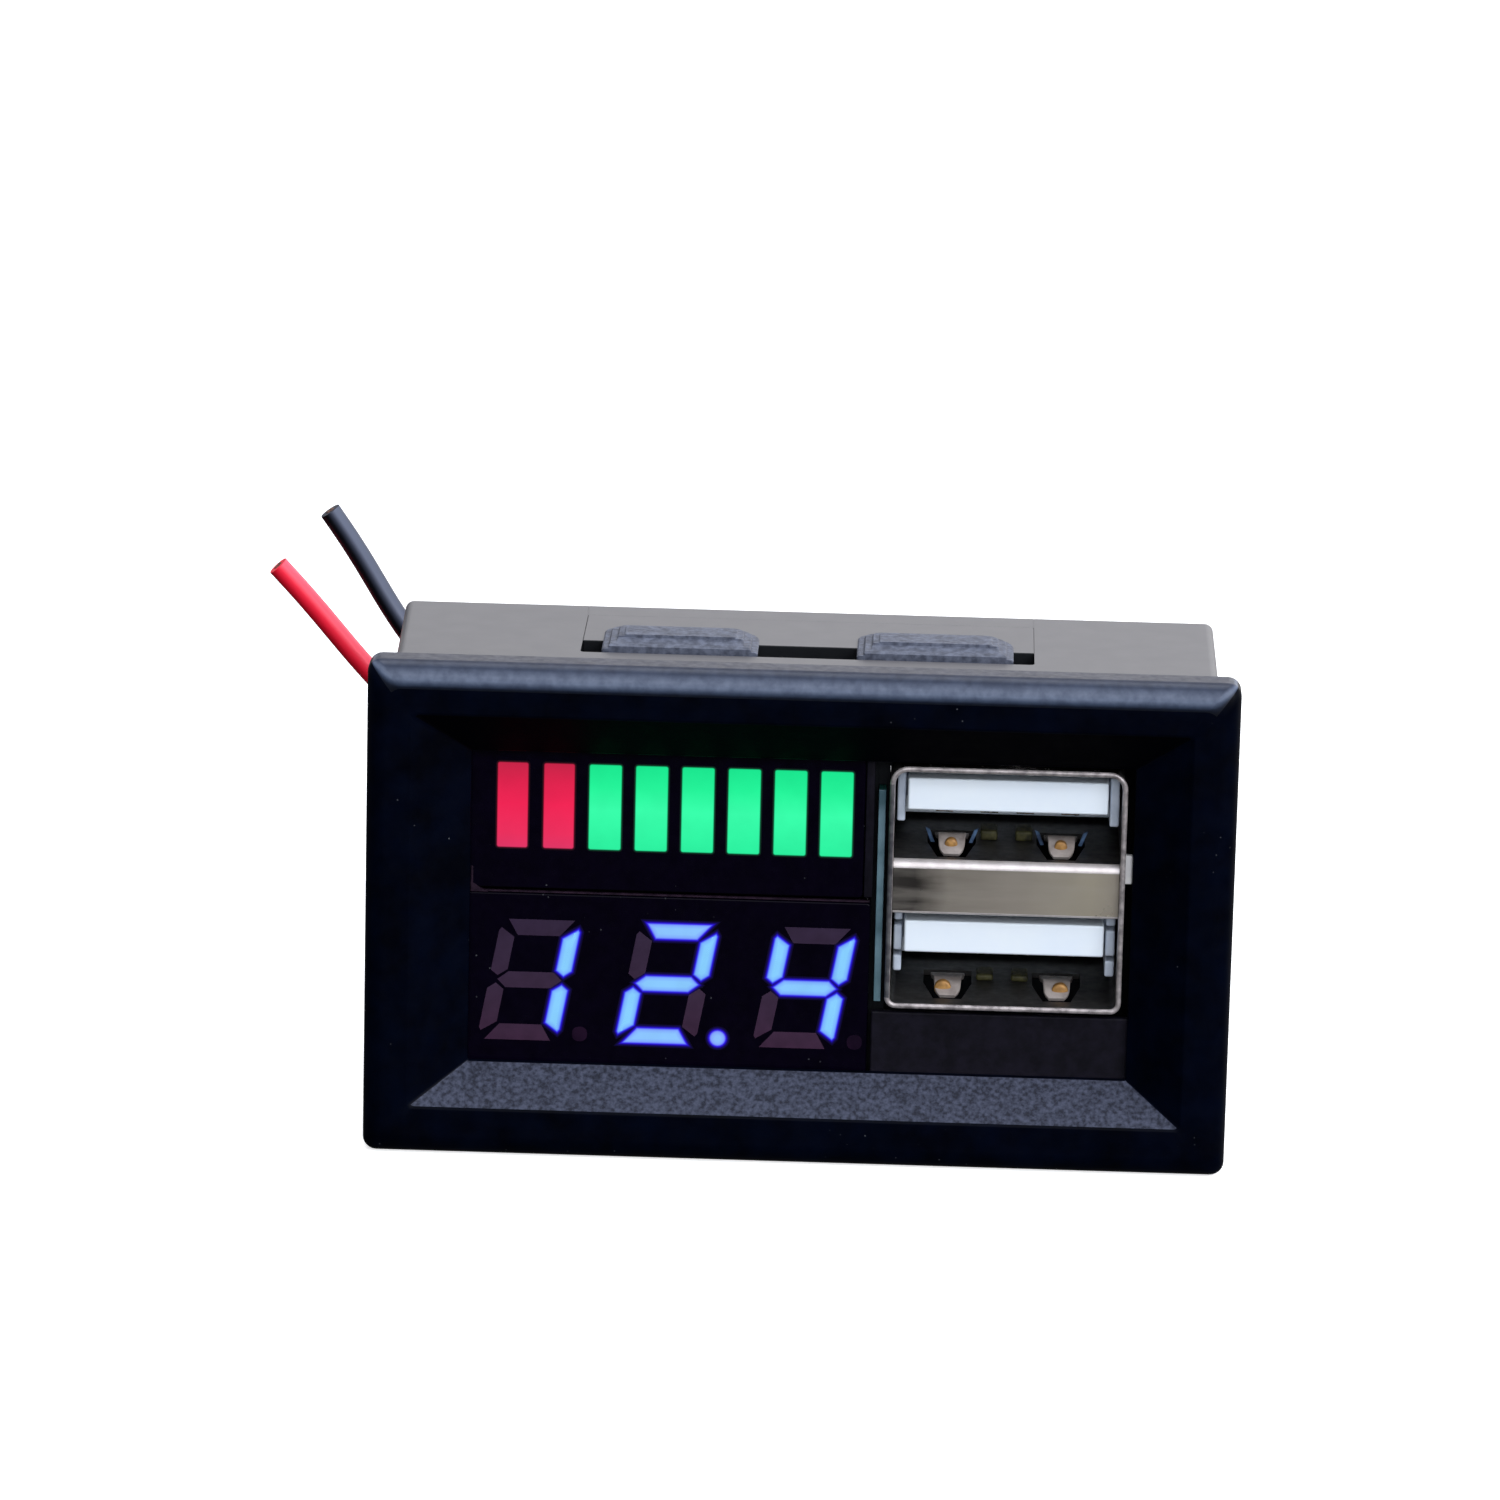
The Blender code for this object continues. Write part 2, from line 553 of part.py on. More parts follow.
leaded("microcontroller", -7.4, 5.9, (7.2, 4.4, 1.3),
       [(-3.05 + i * 1.22, s * 2.6) for i in range(6) for s in (-1, 1)], CHIP)
leaded("voltage_regulator", -12.6, -5.0, (4.5, 2.5, 1.5),
       [(-1.5, -1.6), (0, -1.6), (1.5, -1.6)], CHIP)
leaded("protection_diode", -7.2, -4.6, (4.2, 2.6, 2.0), [(-2.3, 0), (2.3, 0)], CHIP, 0.4)
leaded("sense_resistor", -1.6, -3.4, (2.0, 1.25, 0.5), [(-0.95, 0), (0.95, 0)],
       ((0.03, 0.03, 0.035), 0.4), 0.25)
leaded("filter_capacitor", -1.6, -5.8, (2.0, 1.25, 0.8), [(-0.95, 0), (0.95, 0)],
       ((0.45, 0.33, 0.20), 0.45), 0.25)

place("trimmer_base", prism("trimmer_base", [rounded((-3.4, 0.4), (6.9, 9.9), 0.3, 2)],
                            "Y", (BACK, BACK + 1.1)), ((0.75, 0.74, 0.70), 0.5))
TRIM = (-1.5, 8.4)
rotor = place("trimmer_rotor", turned("trimmer_rotor", (TRIM[0], BACK + 1.75, TRIM[1]), 1.15, 0.7),
              NICKEL, at(TRIM[0], BACK + 1.75, TRIM[1]))
cut(rotor, blocks("screw_slot", [((TRIM[0] - 0.2, TRIM[0] + 0.2), (BACK + 1.75, BACK + 2.5),
                                  (TRIM[1] - 1.6, TRIM[1] + 1.6))]))

can = place("input_capacitor", turned("input_capacitor", (-14.2, BACK + 2.9, 6.9), 2.5, 5.2, sides=32),
            ((0.55, 0.56, 0.58), 0.35, 0.9))
cut(can, prism("capacitor_foot", [rounded((-16.8, -11.6), (4.3, 9.5), 0.6, 2)], "Y",
               (BACK, BACK + 0.5)), "UNION")

link = place("board_link", blocks("board_link", [((1.3, 3.1), (BACK, BACK + 2.2), (-4.0, 1.4))]),
             CHIP)
cut(link, blocks("link_pins", [((2.6, SIDE_X - 0.15), (BACK + 0.9, BACK + 1.4), (z - 0.25, z + 0.25))
                               for z in (-3.2, -1.3, 0.6)]), "UNION")


def on_side_board(name, d, z, size, pads, mat):
    """A part on the left face of the upright board, standing towards -X."""
    w, h, t = size
    face = SIDE_X - 0.2
    obj = place(name, blocks(name, [((face - 0.15 - t, face - 0.15), (d - w / 2, d + w / 2),
                                     (z - h / 2, z + h / 2))]), mat)
    feet = [((face - 0.5, face), (d + dd - 0.25, d + dd + 0.25), (z + dz - 0.25, z + dz + 0.25))
            for dd, dz in pads]
    return cut(obj, blocks("pads", feet), "UNION")


on_side_board("buck_converter", 15.6, -6.6, (3.0, 3.0, 1.3),
              [(s * 1.5, v) for s in (-1, 1) for v in (-0.95, 0, 0.95)], CHIP)
on_side_board("schottky_diode", 15.9, -1.6, (2.6, 4.2, 2.0), [(0, -2.1), (0, 2.1)], CHIP)
on_side_board("output_capacitor", 16.2, 7.85, (1.6, 3.2, 1.4), [(0, -1.5), (0, 1.5)],
              ((0.45, 0.33, 0.20), 0.45))
coil = place("power_inductor", turned("power_inductor", (SIDE_X - 2.05, 15.6, 3.4), 2.3, 3.2, "X", 24),
             ((0.05, 0.05, 0.055), 0.6))
cut(coil, blocks("coil_base", [((SIDE_X - 0.75, SIDE_X - 0.25), (13.2, 18.0), (1.0, 5.8))]), "UNION")


# ---- leads ---------------------------------------------------------------------------
def lead_route(keys):
    """Points along a smooth curve through keys, one every two and a half diameters or so."""
    keys = np.array(keys, float)
    length = np.linalg.norm(np.diff(keys, axis=0), axis=1).sum()
    return eased(keys, int(length / (2.0 * LEAD_D)) + 1)


RED_ROUTE = [(-18.2, 11.5, -2.2), (-18.2, 14.0, -2.35), (-18.25, 17.4, -2.3), (-18.5, 20.8, -1.5),
             (-19.6, 24.2, 0.3), (-21.6, 26.3, 2.5), (-23.8, 27.1, 4.7), (-26.15, 27.2, 6.85),
             (-27.8, 27.2, 8.95), (-29.5, 27.0, 11.2), (-31.25, 26.8, 13.0)]
BLACK_ROUTE = [(-15.5, 11.5, -2.2), (-15.5, 14.0, -2.1), (-15.6, 17.4, -1.3), (-16.3, 20.8, 0.6),
               (-18.0, 23.9, 3.2), (-20.6, 25.6, 6.0), (-22.9, 26.1, 8.4), (-24.3, 26.2, 9.95),
               (-25.6, 26.4, 12.6), (-26.6, 26.4, 14.35), (-28.2, 26.2, 16.5)]


def lead(name, route, mat):
    curve = bpy.data.curves.new(name, "CURVE")
    curve.dimensions = "3D"
    curve.bevel_depth = LEAD_D / 2 * MM
    curve.bevel_resolution = 2
    curve.use_fill_caps = True
    points = lead_route(route)
    spline = curve.splines.new("POLY")
    spline.points.add(len(points) - 1)
    for point, p in zip(spline.points, points):
        point.co = (*at(*map(float, p)), 1)
    curve.materials.append(material(name, *mat))
    obj = bpy.data.objects.new(name, curve)
    PARTS.objects.link(obj)
    return obj


lead("red_lead", RED_ROUTE, ((0.85, 0.03, 0.06), 0.4))
lead("black_lead", BLACK_ROUTE, ((0.02, 0.022, 0.03), 0.4))
for word, x in (("positive", -18.2), ("negative", -15.5)):
    place(f"{word}_solder", turned(f"{word}_solder", (x, BACK + 0.4, -2.2), 1.1, 0.7, "Y", 16, 0.6),
          SOLDER)

for obj in PARTS.objects:
    if obj.type == "MESH":
        obj.data.shade_smooth()
        obj.data.set_sharp_from_angle(angle=math.radians(35))
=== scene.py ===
import json
import math

import bmesh
import bpy
import numpy as np
from mathutils import Matrix, Vector

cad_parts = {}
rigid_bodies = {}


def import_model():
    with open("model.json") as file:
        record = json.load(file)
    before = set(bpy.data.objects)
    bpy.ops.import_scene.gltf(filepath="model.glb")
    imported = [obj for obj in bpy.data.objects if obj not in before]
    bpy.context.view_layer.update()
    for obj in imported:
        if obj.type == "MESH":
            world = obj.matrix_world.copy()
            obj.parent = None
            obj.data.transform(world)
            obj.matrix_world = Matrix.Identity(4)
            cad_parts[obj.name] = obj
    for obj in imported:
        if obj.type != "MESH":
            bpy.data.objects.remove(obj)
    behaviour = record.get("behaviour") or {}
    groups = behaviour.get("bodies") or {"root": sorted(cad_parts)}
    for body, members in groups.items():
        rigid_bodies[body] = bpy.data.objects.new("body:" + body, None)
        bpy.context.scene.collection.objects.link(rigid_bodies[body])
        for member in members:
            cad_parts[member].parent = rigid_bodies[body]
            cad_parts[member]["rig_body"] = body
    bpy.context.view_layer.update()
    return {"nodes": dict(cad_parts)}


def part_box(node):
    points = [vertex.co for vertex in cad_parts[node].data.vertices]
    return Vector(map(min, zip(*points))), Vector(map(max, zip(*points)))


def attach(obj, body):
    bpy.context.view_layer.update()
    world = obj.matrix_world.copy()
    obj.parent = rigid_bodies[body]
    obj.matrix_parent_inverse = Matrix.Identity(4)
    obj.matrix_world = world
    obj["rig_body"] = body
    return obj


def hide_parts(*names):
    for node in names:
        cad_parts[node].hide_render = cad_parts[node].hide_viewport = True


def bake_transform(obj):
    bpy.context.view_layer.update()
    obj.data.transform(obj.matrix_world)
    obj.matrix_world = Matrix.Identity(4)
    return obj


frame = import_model()

MM = 0.001
DEPTH, HEIGHT = 19.0, 28.2


def at(x, d, h):
    """Metres in the part's frame from mm across, behind the front face, above the middle."""
    return (float(x) * MM, (float(d) - DEPTH / 2) * MM, (float(h) + HEIGHT / 2) * MM)


# ---------------------------------------------------------------- camera
def make_camera():
    azimuth, elevation, roll = 0.0252447675, 0.254273588, 0.0233432134
    look = Vector((-math.sin(azimuth) * math.cos(elevation),
                   math.cos(azimuth) * math.cos(elevation), -math.sin(elevation)))
    right = Vector((math.cos(azimuth), math.sin(azimuth), 0))
    up = right.cross(look)
    side = math.cos(roll) * right + math.sin(roll) * up
    top = -math.sin(roll) * right + math.cos(roll) * up
    data = bpy.data.cameras.new("camera")
    data.sensor_width = 36
    data.lens = 7896.73294 / 1500 * 36
    data.clip_start, data.clip_end = 0.02, 20
    cam = bpy.data.objects.new("camera", data)
    cam.matrix_world = Matrix(((side.x, top.x, -look.x, 0.00771818),
                               (side.y, top.y, -look.y, -0.42888436),
                               (side.z, top.z, -look.z, 0.13286181),
                               (0, 0, 0, 1)))
    bpy.context.scene.collection.objects.link(cam)
    bpy.context.scene.camera = cam


make_camera()
bpy.context.scene.view_settings.view_transform = "Standard"
bpy.context.scene.view_settings.look = "None"


# ---------------------------------------------------------------- materials
def linear(r, g, b):
    out = []
    for c in (r, g, b):
        c = c / 255
        out.append(c / 12.92 if c <= 0.04045 else ((c + 0.055) / 1.055) ** 2.4)
    return tuple(out)


class Nodes:
    def __init__(self, name):
        self.mat = bpy.data.materials.new(name)
        self.mat.use_nodes = True
        self.tree = self.mat.node_tree
        self.shader = self.tree.nodes["Principled BSDF"]
        self.coords = self.tree.nodes.new("ShaderNodeTexCoord")

    def new(self, kind, **values):
        node = self.tree.nodes.new(kind)
        for key, value in values.items():
            setattr(node, key, value)
        return node

    def link(self, a, b):
        self.tree.links.new(a, b)

    def noise(self, scale, detail=3.0, stretch=None, roughness=0.55):
        node = self.new("ShaderNodeTexNoise")
        node.inputs["Scale"].default_value = scale
        node.inputs["Detail"].default_value = detail
        node.inputs["Roughness"].default_value = roughness
        if stretch:
            mapping = self.new("ShaderNodeMapping")
            mapping.inputs["Scale"].default_value = stretch
            self.link(self.coords.outputs["Object"], mapping.inputs["Vector"])
            self.link(mapping.outputs["Vector"], node.inputs["Vector"])
        else:
            self.link(self.coords.outputs["Object"], node.inputs["Vector"])
        return node.outputs["Fac"]

    def ramp(self, source, stops, interpolation="LINEAR"):
        node = self.new("ShaderNodeValToRGB")
        node.color_ramp.interpolation = interpolation
        elements = node.color_ramp.elements
        while len(elements) < len(stops):
            elements.new(0.5)
        for element, (place, colour) in zip(elements, stops):
            element.position = place
            element.color = (*colour, 1) if len(colour) == 3 else colour
        self.link(source, node.inputs["Fac"])
        return node.outputs["Color"]

    def spread(self, source, low, high, a=0.3, b=0.7):
        node = self.new("ShaderNodeMapRange")
        node.inputs["From Min"].default_value = a
        node.inputs["From Max"].default_value = b
        node.inputs["To Min"].default_value = low
        node.inputs["To Max"].default_value = high
        self.link(source, node.inputs["Value"])
        return node.outputs["Result"]

    def mix(self, factor, a, b, blend="MIX"):
        node = self.new("ShaderNodeMix", data_type="RGBA", blend_type=blend)
        for socket, value in ((node.inputs[0], factor), (node.inputs[6], a), (node.inputs[7], b)):
            if isinstance(value, bpy.types.NodeSocket):
                self.link(value, socket)
            elif isinstance(value, tuple):
                socket.default_value = (*value, 1) if len(value) == 3 else value
            else:
                socket.default_value = value
        return node.outputs[2]

    def bump(self, source, depth, strength=1.0, onto=None):
        node = self.new("ShaderNodeBump")
        node.inputs["Strength"].default_value = strength
        node.inputs["Distance"].default_value = depth * MM
        self.link(source, node.inputs["Height"])
        if onto is not None:
            self.link(onto, node.inputs["Normal"])
        return node.outputs["Normal"]


def finish(name, colour, rough, second=None, metallic=0.0, spec=0.5, patches=700.0,
           grain=3500.0, depth=0.004, waves=None, wave_depth=0.0, spread=0.07, dust=0.0,
           streaks=None, coat=0.0, ior=1.5):
    """A procedural material: two tones in soft patches, uneven roughness and moulded grain."""
    n = Nodes(name)
    s = n.shader
    second = second or tuple(c * 0.72 for c in colour)
    base = n.ramp(n.noise(patches, 4), [(0.35, second), (0.65, colour)])
    if streaks:
        fine = n.noise(1.0, 5, streaks)
        base = n.mix(n.spread(fine, 0.0, 0.55, 0.45, 0.75), base, tuple(min(1, c * 1.35) for c in colour))
    if dust:
        cells = n.new("ShaderNodeTexVoronoi")
        cells.inputs["Scale"].default_value = 1500
        n.link(n.coords.outputs["Object"], cells.inputs["Vector"])
        specks = n.spread(cells.outputs["Distance"], 1.0, 0.0, 0.03, 0.09)
        sparse = n.spread(n.noise(260, 2), 0.0, dust, 0.55, 0.66)
        both = n.new("ShaderNodeMath", operation="MULTIPLY")
        n.link(specks, both.inputs[0])
        n.link(sparse, both.inputs[1])
        base = n.mix(both.outputs[0], base, (0.30, 0.31, 0.34))
    n.link(base, s.inputs["Base Color"])
    n.link(n.spread(n.noise(patches * 2.3, 3), max(0.02, rough - spread), min(1, rough + spread)),
           s.inputs["Roughness"])
    s.inputs["Metallic"].default_value = metallic
    s.inputs["Specular IOR Level"].default_value = spec
    s.inputs["IOR"].default_value = ior
    s.inputs["Coat Weight"].default_value = coat
    normal = n.bump(n.noise(grain, 2), depth)
    if waves:
        normal = n.bump(n.noise(waves, 2), wave_depth, onto=normal)
    n.link(normal, s.inputs["Normal"])
    return n.mat


BEZEL = finish("bezel_black", (0.0004, 0.0014, 0.0062), 0.36, (0.0001, 0.0004, 0.0022), spec=0.06,
               patches=420, grain=6000, depth=0.0025, dust=0.30)
# painted shade: the bezel's upper slope, darker than its face
SHADE = finish("upper_slope_painted_shade", (0.0004, 0.0005, 0.0016), 0.6, (0.0002, 0.0003, 0.0010), spec=0.03,
               patches=420, grain=6000, depth=0.0025)


def paint_rim_highlight():
    """The flange's rounding, painted with light and shade: paler where it faces up, black where it turns to the front.
    """
    n = Nodes("rim_painted_highlight")
    facing = n.new("ShaderNodeNewGeometry")
    split = n.new("ShaderNodeSeparateXYZ")
    n.link(facing.outputs["Normal"], split.inputs[0])
    across = n.new("ShaderNodeMath", operation="ABSOLUTE")
    n.link(split.outputs["X"], across.inputs[0])
    upward = n.new("ShaderNodeMath", operation="MULTIPLY_ADD")
    n.link(across.outputs[0], upward.inputs[0])
    upward.inputs[1].default_value = -0.85
    n.link(split.outputs["Z"], upward.inputs[2])
    base = n.ramp(upward.outputs[0], [(0.0, (0.0003, 0.0007, 0.0030)), (0.05, (0.003, 0.006, 0.016)),
                                       (0.12, (0.030, 0.044, 0.080)), (0.22, (0.094, 0.120, 0.182)),
                                       (0.34, (0.098, 0.120, 0.176)), (0.62, (0.022, 0.031, 0.058)),
                                       (1.0, (0.026, 0.030, 0.050))])
    mottle = n.ramp(n.noise(1500, 4), [(0.35, (0.74, 0.75, 0.78)), (0.65, (1.18, 1.16, 1.13))])
    base = n.mix(1.0, base, mottle, "MULTIPLY")
    n.link(base, n.shader.inputs["Base Color"])
    n.link(n.spread(n.noise(2400, 3), 0.32, 0.44), n.shader.inputs["Roughness"])
    n.shader.inputs["Specular IOR Level"].default_value = 0.26
    grain = n.bump(n.noise(3000, 2), 0.010)
    n.link(n.bump(n.noise(520, 2), 0.016, onto=grain), n.shader.inputs["Normal"])
    return n.mat


RIM = paint_rim_highlight()
SLEEVE = finish("sleeve_black", (0.108, 0.104, 0.110), 0.40, (0.104, 0.100, 0.106), spec=0.5,
                patches=260, grain=7000, depth=0.002, spread=0.015)
# painted light: the bezel's lower slope, paler than its face because it faces up
LIT_SLOPE = finish("lower_slope_painted_light", (0.058, 0.066, 0.104), 0.62, (0.012, 0.014, 0.025), spec=0.2,
               patches=3900, grain=4200, depth=0.020)
PAD = finish("barb_black", (0.104, 0.118, 0.165), 0.55, (0.040, 0.046, 0.070), spec=0.5,
             patches=2600, grain=3000, depth=0.03)
# painted shade: near-black for hollows, undersides, inner walls and the blocks behind the outlet
INSIDE = finish("inside_painted_shade", (0.006, 0.007, 0.009), 0.6, spec=0.2, patches=500, grain=4000, depth=0.006)
FACE_BLACK = finish("display_black", linear(5, 2, 15), 0.22, linear(3, 1, 10), spec=0.12,
                    patches=900, grain=7000, depth=0.0012, dust=0.22)
SEAM = finish("seam_plum", linear(44, 30, 44), 0.5, linear(26, 17, 28), spec=0.1, patches=1800)
SILL = finish("sill_black", linear(20, 18, 28), 0.5, linear(12, 11, 18), spec=0.15, patches=1500,
              grain=5200, depth=0.008)
NICKEL = finish("nickel", (0.74, 0.69, 0.66), 0.22, (0.60, 0.55, 0.52), metallic=1.0, patches=900,
                grain=2600, depth=0.006, streaks=(250, 1800, 1800), spread=0.06)
# painted shade: nickel darkened inside the outlet
SHADED_NICKEL = finish("nickel_painted_shade", (0.075, 0.072, 0.070), 0.45, (0.045, 0.043, 0.042), metallic=0.7,
                    patches=900, grain=2600, depth=0.004)
EDGE_METAL = finish("nickel_edge", (0.60, 0.545, 0.54), 0.34, (0.26, 0.235, 0.235), metallic=0.5, patches=2100,
                    grain=2600, depth=0.004)
# painted highlight on the folded plate's bends
BEND_HIGHLIGHT = finish("nickel_bend_painted_highlight", (0.98, 0.91, 0.89), 0.36, (0.84, 0.77, 0.75), metallic=0.6, patches=1600)
# painted shade on the left part of the shell's front rim
EDGE_SHADED = finish("nickel_edge_painted_shade", (0.16, 0.16, 0.17), 0.45, (0.07, 0.07, 0.08), metallic=0.5, patches=2100)
# painted reflection of the gold contacts, on the leaves' dimples
DIMPLE_REFLECTION = finish("dimple_painted_reflection", (0.50, 0.27, 0.08), 0.45, (0.26, 0.13, 0.04), metallic=0.35, patches=2600)
# painted bluish glint on the upturned edges of the leaf openings
EDGE_GLINT = finish("slot_edge_painted_glint", (0.11, 0.20, 0.36), 0.42, (0.03, 0.05, 0.10), metallic=0.3, patches=1900)
# painted glint: dim olive gold on the contact tails
TAIL_GLINT = finish("tail_painted_glint", (0.075, 0.070, 0.026), 0.5, (0.020, 0.020, 0.010), metallic=0.2, patches=2600)
LEAF = finish("spring_leaf", (0.56, 0.50, 0.47), 0.42, (0.34, 0.29, 0.27), metallic=0.35, patches=1100)
GOLD = finish("contact_gold", (0.83, 0.56, 0.27), 0.28, (0.62, 0.38, 0.16), metallic=1.0, patches=1200)
WHITE = finish("socket_white", (0.87, 0.94, 1.0), 0.42, (0.83, 0.91, 1.0), spec=0.4, patches=300,
               grain=3800, depth=0.002)
# painted shade: the insulator's white made darker and bluer on its nibs and webs
WHITE_SHADED = finish("socket_white_painted_shade", (0.62, 0.68, 0.78), 0.45, (0.50, 0.56, 0.66), patches=900)
TAB = finish("tab_white", (0.86, 0.85, 0.84), 0.4, (0.74, 0.73, 0.74), patches=900)
BOARD = finish("board_green", (0.010, 0.085, 0.070), 0.38, (0.006, 0.060, 0.052), spec=0.5,
               patches=500, grain=4200, depth=0.003)
BOARD_EDGE = finish("board_edge", linear(112, 144, 156), 0.5, linear(66, 96, 106), patches=420)
COPPER_TRACK = finish("board_track", (0.016, 0.130, 0.098), 0.34, (0.012, 0.105, 0.08), patches=900)
SOLDER = finish("solder", (0.66, 0.66, 0.68), 0.30, (0.50, 0.50, 0.53), metallic=1.0, patches=1400,
                grain=2200, depth=0.01)
CHIP = finish("chip_black", (0.018, 0.018, 0.019), 0.52, (0.012, 0.012, 0.013), patches=1200,
              grain=4600, depth=0.008)
CERAMIC = finish("ceramic_tan", (0.42, 0.30, 0.18), 0.42, (0.34, 0.24, 0.14), patches=1600)
IVORY = finish("ivory", (0.72, 0.71, 0.66), 0.45, (0.62, 0.61, 0.56), patches=900)
CAN = finish("can_metal", (0.72, 0.72, 0.73), 0.30, (0.60, 0.60, 0.62), metallic=1.0, patches=300,
             streaks=(3000, 200, 3000))
FERRITE = finish("ferrite", (0.045, 0.045, 0.05), 0.62, (0.03, 0.03, 0.034), patches=1500, depth=0.02)
WINDING = finish("winding", (0.62, 0.22, 0.08), 0.30, (0.42, 0.13, 0.05), metallic=0.9, patches=1500)


def insulation(name, stops, spec, rough):
    """PVC sleeving with a painted highlight: paler along the side that faces the window, darker on the far side."""
    n = Nodes(name)
    facing = n.new("ShaderNodeNewGeometry")
    dot = n.new("ShaderNodeVectorMath", operation="DOT_PRODUCT")
    n.link(facing.outputs["Normal"], dot.inputs[0])
    dot.inputs[1].default_value = (0.80, 0.0, 0.60)
    base = n.ramp(n.spread(dot.outputs["Value"], 0.0, 1.0, -1.0, 1.0), stops)
    mottle = n.ramp(n.noise(300, 3), [(0.35, (0.92, 0.92, 0.92)), (0.65, (1.0, 1.0, 1.0))])
    n.link(n.mix(1.0, base, mottle, "MULTIPLY"), n.shader.inputs["Base Color"])
    n.link(n.spread(n.noise(700, 3), rough - 0.05, rough + 0.05), n.shader.inputs["Roughness"])
    n.shader.inputs["Specular IOR Level"].default_value = spec
    grain = n.bump(n.noise(2600, 2), 0.003)
    n.link(n.bump(n.noise(350, 2), 0.008, onto=grain), n.shader.inputs["Normal"])
    return n.mat


# the ramps paint a highlight on the side facing the window and shade on the far side
RED_PVC = insulation("red_pvc", [(0.0, linear(214, 14, 38)), (0.35, linear(236, 24, 50)),
                                 (0.58, linear(250, 40, 66)), (0.80, linear(255, 84, 104)),
                                 (1.0, linear(250, 92, 112))], 0.3, 0.42)
BLACK_PVC = insulation("black_pvc", [(0.0, (0.0006, 0.0006, 0.0012)), (0.36, (0.0020, 0.0022, 0.0045)),
                                     (0.54, (0.026, 0.031, 0.052)), (0.74, (0.098, 0.112, 0.168)),
                                     (0.90, (0.090, 0.104, 0.155)), (1.0, (0.052, 0.060, 0.092))], 0.3, 0.42)
STRAND = finish("copper_strand", (0.30, 0.17, 0.13), 0.4, (0.16, 0.09, 0.07), metallic=0.8)


def shaded_plum():
    """Unlit strokes: plum, a little paler towards the foot of the display."""
    n = Nodes("stroke_unlit")
    split = n.new("ShaderNodeSeparateXYZ")
    n.link(n.coords.outputs["Object"], split.inputs[0])
    rise = n.spread(split.outputs["Z"], 0.0, 1.0, at(0, 0, -8.2)[2], at(0, 0, -1.0)[2])
    base = n.ramp(rise, [(0.0, linear(62, 38, 60)), (0.45, linear(58, 41, 62)), (1.0, linear(52, 39, 61))])
    n.link(n.mix(n.spread(n.noise(1200, 3), 0.0, 0.35), base, linear(34, 22, 36)),
           n.shader.inputs["Base Color"])
    n.link(n.spread(n.noise(900, 2), 0.38, 0.52), n.shader.inputs["Roughness"])
    n.shader.inputs["Specular IOR Level"].default_value = 0.15
    n.link(n.bump(n.noise(4200, 2), 0.003), n.shader.inputs["Normal"])
    return n.mat


PLUM = shaded_plum()


def band_metal():
    """Satin nickel of the folded plate, with painted shade darkening the left end of its band."""
    n = Nodes("band_nickel_painted_shade")
    split = n.new("ShaderNodeSeparateXYZ")
    n.link(n.coords.outputs["Object"], split.inputs[0])
    along = n.spread(split.outputs["X"], 0.0, 1.0, at(5.0, 0, 0)[0], at(18.0, 0, 0)[0])
    wander = n.new("ShaderNodeMath", operation="MULTIPLY_ADD")
    n.link(n.noise(420, 3), wander.inputs[0])
    wander.inputs[1].default_value = 0.16
    wander.inputs[2].default_value = -0.08
    shifted = n.new("ShaderNodeMath", operation="ADD")
    n.link(along, shifted.inputs[0])
    n.link(wander.outputs[0], shifted.inputs[1])
    base = n.ramp(shifted.outputs[0], [(0.0, (0.075, 0.068, 0.062)), (0.10, (0.045, 0.040, 0.037)),
                                       (0.24, (0.36, 0.32, 0.27)), (0.55, (0.46, 0.41, 0.345)),
                                       (0.86, (0.58, 0.52, 0.40)), (1.0, (0.50, 0.44, 0.37))])
    fine = n.noise(1.0, 5, (200, 2600, 1500))
    base = n.mix(n.spread(fine, 0.0, 0.30, 0.42, 0.72), base, (0.62, 0.57, 0.50))
    n.link(base, n.shader.inputs["Base Color"])
    n.link(n.spread(n.noise(500, 3), 0.26, 0.40), n.shader.inputs["Roughness"])
    n.shader.inputs["Metallic"].default_value = 0.62
    n.shader.inputs["Specular IOR Level"].default_value = 0.5
    n.link(n.bump(n.noise(1900, 2), 0.003), n.shader.inputs["Normal"])
    return n.mat


NICKEL_BAND = band_metal()


def glowing(name, stops, low, high):
    """A lit window: emission graded from low to high (mm above the middle)."""
    n = Nodes(name)
    s = n.shader
    split = n.new("ShaderNodeSeparateXYZ")
    n.link(n.coords.outputs["Object"], split.inputs[0])
    rise = n.spread(split.outputs["Z"], 0.0, 1.0, at(0, 0, low)[2], at(0, 0, high)[2])
    colour = n.ramp(rise, stops)
    lit = n.new("ShaderNodeAttribute", attribute_name="lit")
    halo = n.ramp(lit.outputs["Fac"], [(0.0, (0, 0, 0)), (0.5, (0.05, 0.05, 0.05)), (0.9, (1, 1, 1))])
    cloud = n.spread(n.noise(600, 2), 0.96, 1.03)
    colour = n.mix(1.0, colour, halo, "MULTIPLY")
    n.link(colour, s.inputs["Emission Color"])
    n.link(cloud, s.inputs["Emission Strength"])
    s.inputs["Base Color"].default_value = (0.004, 0.003, 0.006, 1)
    n.link(n.spread(n.noise(900, 2), 0.22, 0.32), s.inputs["Roughness"])
    s.inputs["Specular IOR Level"].default_value = 0.1
    return n.mat


RED_BAR = glowing("bar_lit_red", [(0.0, linear(224, 52, 100)), (0.16, linear(236, 46, 92)),
                                  (0.5, linear(240, 34, 82)), (0.78, linear(220, 32, 74)),
                                  (1.0, linear(192, 34, 68))], 3.06, 8.06)
GREEN_BAR = glowing("bar_lit_green", [(0.0, linear(40, 240, 158)), (0.45, linear(54, 254, 170)),
                                      (0.72, linear(32, 243, 152)), (1.0, linear(18, 228, 140))],
                    3.06, 8.06)


